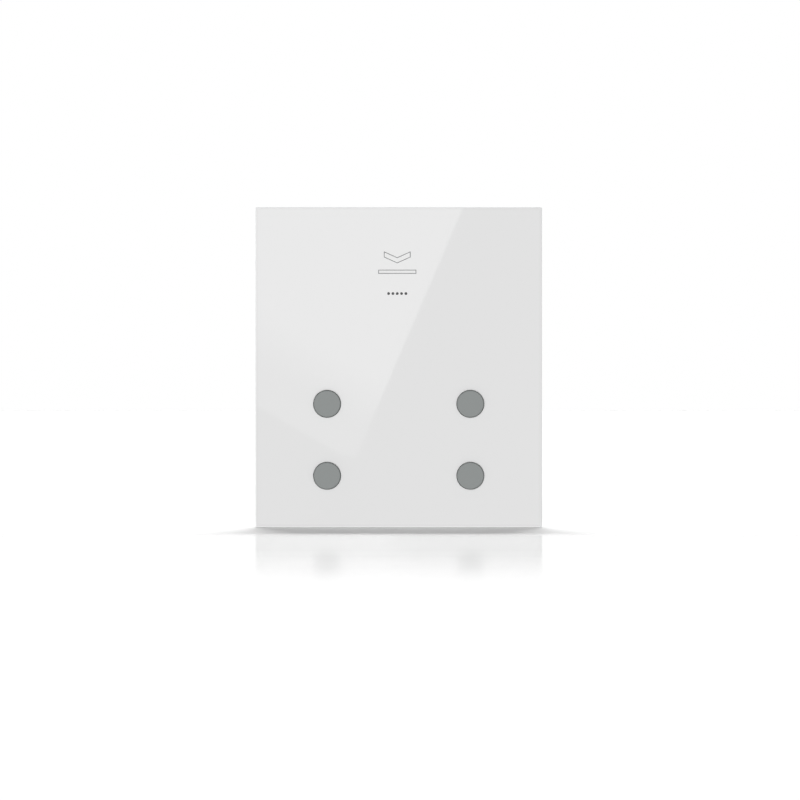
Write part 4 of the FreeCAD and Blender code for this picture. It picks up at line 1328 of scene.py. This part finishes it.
    def window_card(self) -> None:
        """Hangs a bright card behind the camera, shaped like the gleam on the glass."""
        behind = self.distance + self.card_behind
        grow = (self.distance + behind) / self.distance
        mesh = bmesh.new()
        depth = glass_front() - behind
        corners = []
        for x, z in self.gleam:
            far_x = self.centre_x + (x - self.centre_x) * grow
            far_z = self.centre_z + (z - self.centre_z) * grow
            corners.append(mesh.verts.new((far_x, depth, far_z)))
        mesh.faces.new(corners)
        thing = as_object("window_card", mesh)
        material, tree = new_material("window_card_light")
        place = add_node(tree, "ShaderNodeTexCoord", {}, {})
        low_left, low_right = Vector(self.gleam[3]), Vector(self.gleam[2])
        along = (low_right - low_left).normalized()
        across = Vector((-along.y, along.x))
        start = Vector((self.centre_x, self.centre_z)) * (1 - grow) + low_left * grow
        rise_from = start.dot(across) + self.gleam_dim * grow
        height = add_node(
            tree,
            "ShaderNodeVectorMath",
            {"operation": "DOT_PRODUCT", 1: (across.x / MM, 0.0, across.y / MM)},
            {0: place.outputs["Object"]},
        )
        bright = add_node(
            tree,
            "ShaderNodeMapRange",
            {
                "From Min": rise_from,
                "From Max": rise_from + self.gleam_rise * grow,
                "To Min": self.gleam_low,
                "To Max": self.gleam_high,
            },
            {"Value": height.outputs["Value"]},
        )
        light = add_node(tree, "ShaderNodeEmission", {}, {"Strength": bright.outputs["Result"]})
        add_node(tree, "ShaderNodeOutputMaterial", {}, {"Surface": light.outputs["Emission"]})
        thing.data.materials.append(material)
        thing.visible_camera = False
        thing.visible_diffuse = False
        thing.visible_shadow = False

    def world(self) -> None:
        """Makes the surroundings white to the eye and dimmer as a light."""
        world = bpy.data.worlds.new("studio")
        world.use_nodes = True
        tree = world.node_tree
        tree.nodes.clear()
        path = add_node(tree, "ShaderNodeLightPath", {}, {})
        mirrored = add_node(
            tree,
            "ShaderNodeMath",
            {"operation": "MAXIMUM"},
            {0: path.outputs["Is Camera Ray"], 1: path.outputs["Is Glossy Ray"]},
        )
        shown = add_node(
            tree,
            "ShaderNodeMath",
            {"operation": "MAXIMUM"},
            {0: mirrored.outputs["Value"], 1: path.outputs["Is Transmission Ray"]},
        )
        strength = add_node(
            tree,
            "ShaderNodeMapRange",
            {"To Min": self.sky, "To Max": 1.0},
            {"Value": shown.outputs["Value"]},
        )
        light = add_node(
            tree,
            "ShaderNodeBackground",
            {"Color": WHITE},
            {"Strength": strength.outputs["Result"]},
        )
        add_node(tree, "ShaderNodeOutputWorld", {}, {"Surface": light.outputs["Background"]})
        bpy.context.scene.world = world


def main() -> None:
    """Builds every sub-assembly in order."""
    logging.basicConfig(level=logging.INFO)
    sub_assemblies = [
        FrontUnit(),
        PanelPrint(),
        CardPocket(),
        WallUnit(),
        ScrewSet("housing_screws", BACKWARD, head_tall=1.5, shank_radius=1.25, recess_width=0.8),
        ScrewSet("rear_cover_screws", BACKWARD, head_tall=1.2, shank_radius=0.85),
        ScrewSet("guide_screws", BACKWARD, head_tall=1.2, shank_radius=0.85),
        ScrewSet("board_screws", BACKWARD, head_tall=1.2, shank_radius=0.85),
        ScrewSet("terminal_screws", BACKWARD, head_tall=1.2, shank_radius=1.25, recess=Recess.SLOT),
        ScrewSet("sensor_screws", LEFT, head_tall=1.2, shank_radius=0.97),
        ScrewSet("lock_screw", DOWN, head_tall=1.5, shank_radius=1.45, recess_width=0.8),
        Studio(),
    ]
    for part in sub_assemblies:
        LOG.info("%s: %s", type(part).__name__, ", ".join(part.build()))


if __name__ == "__main__":
    main()
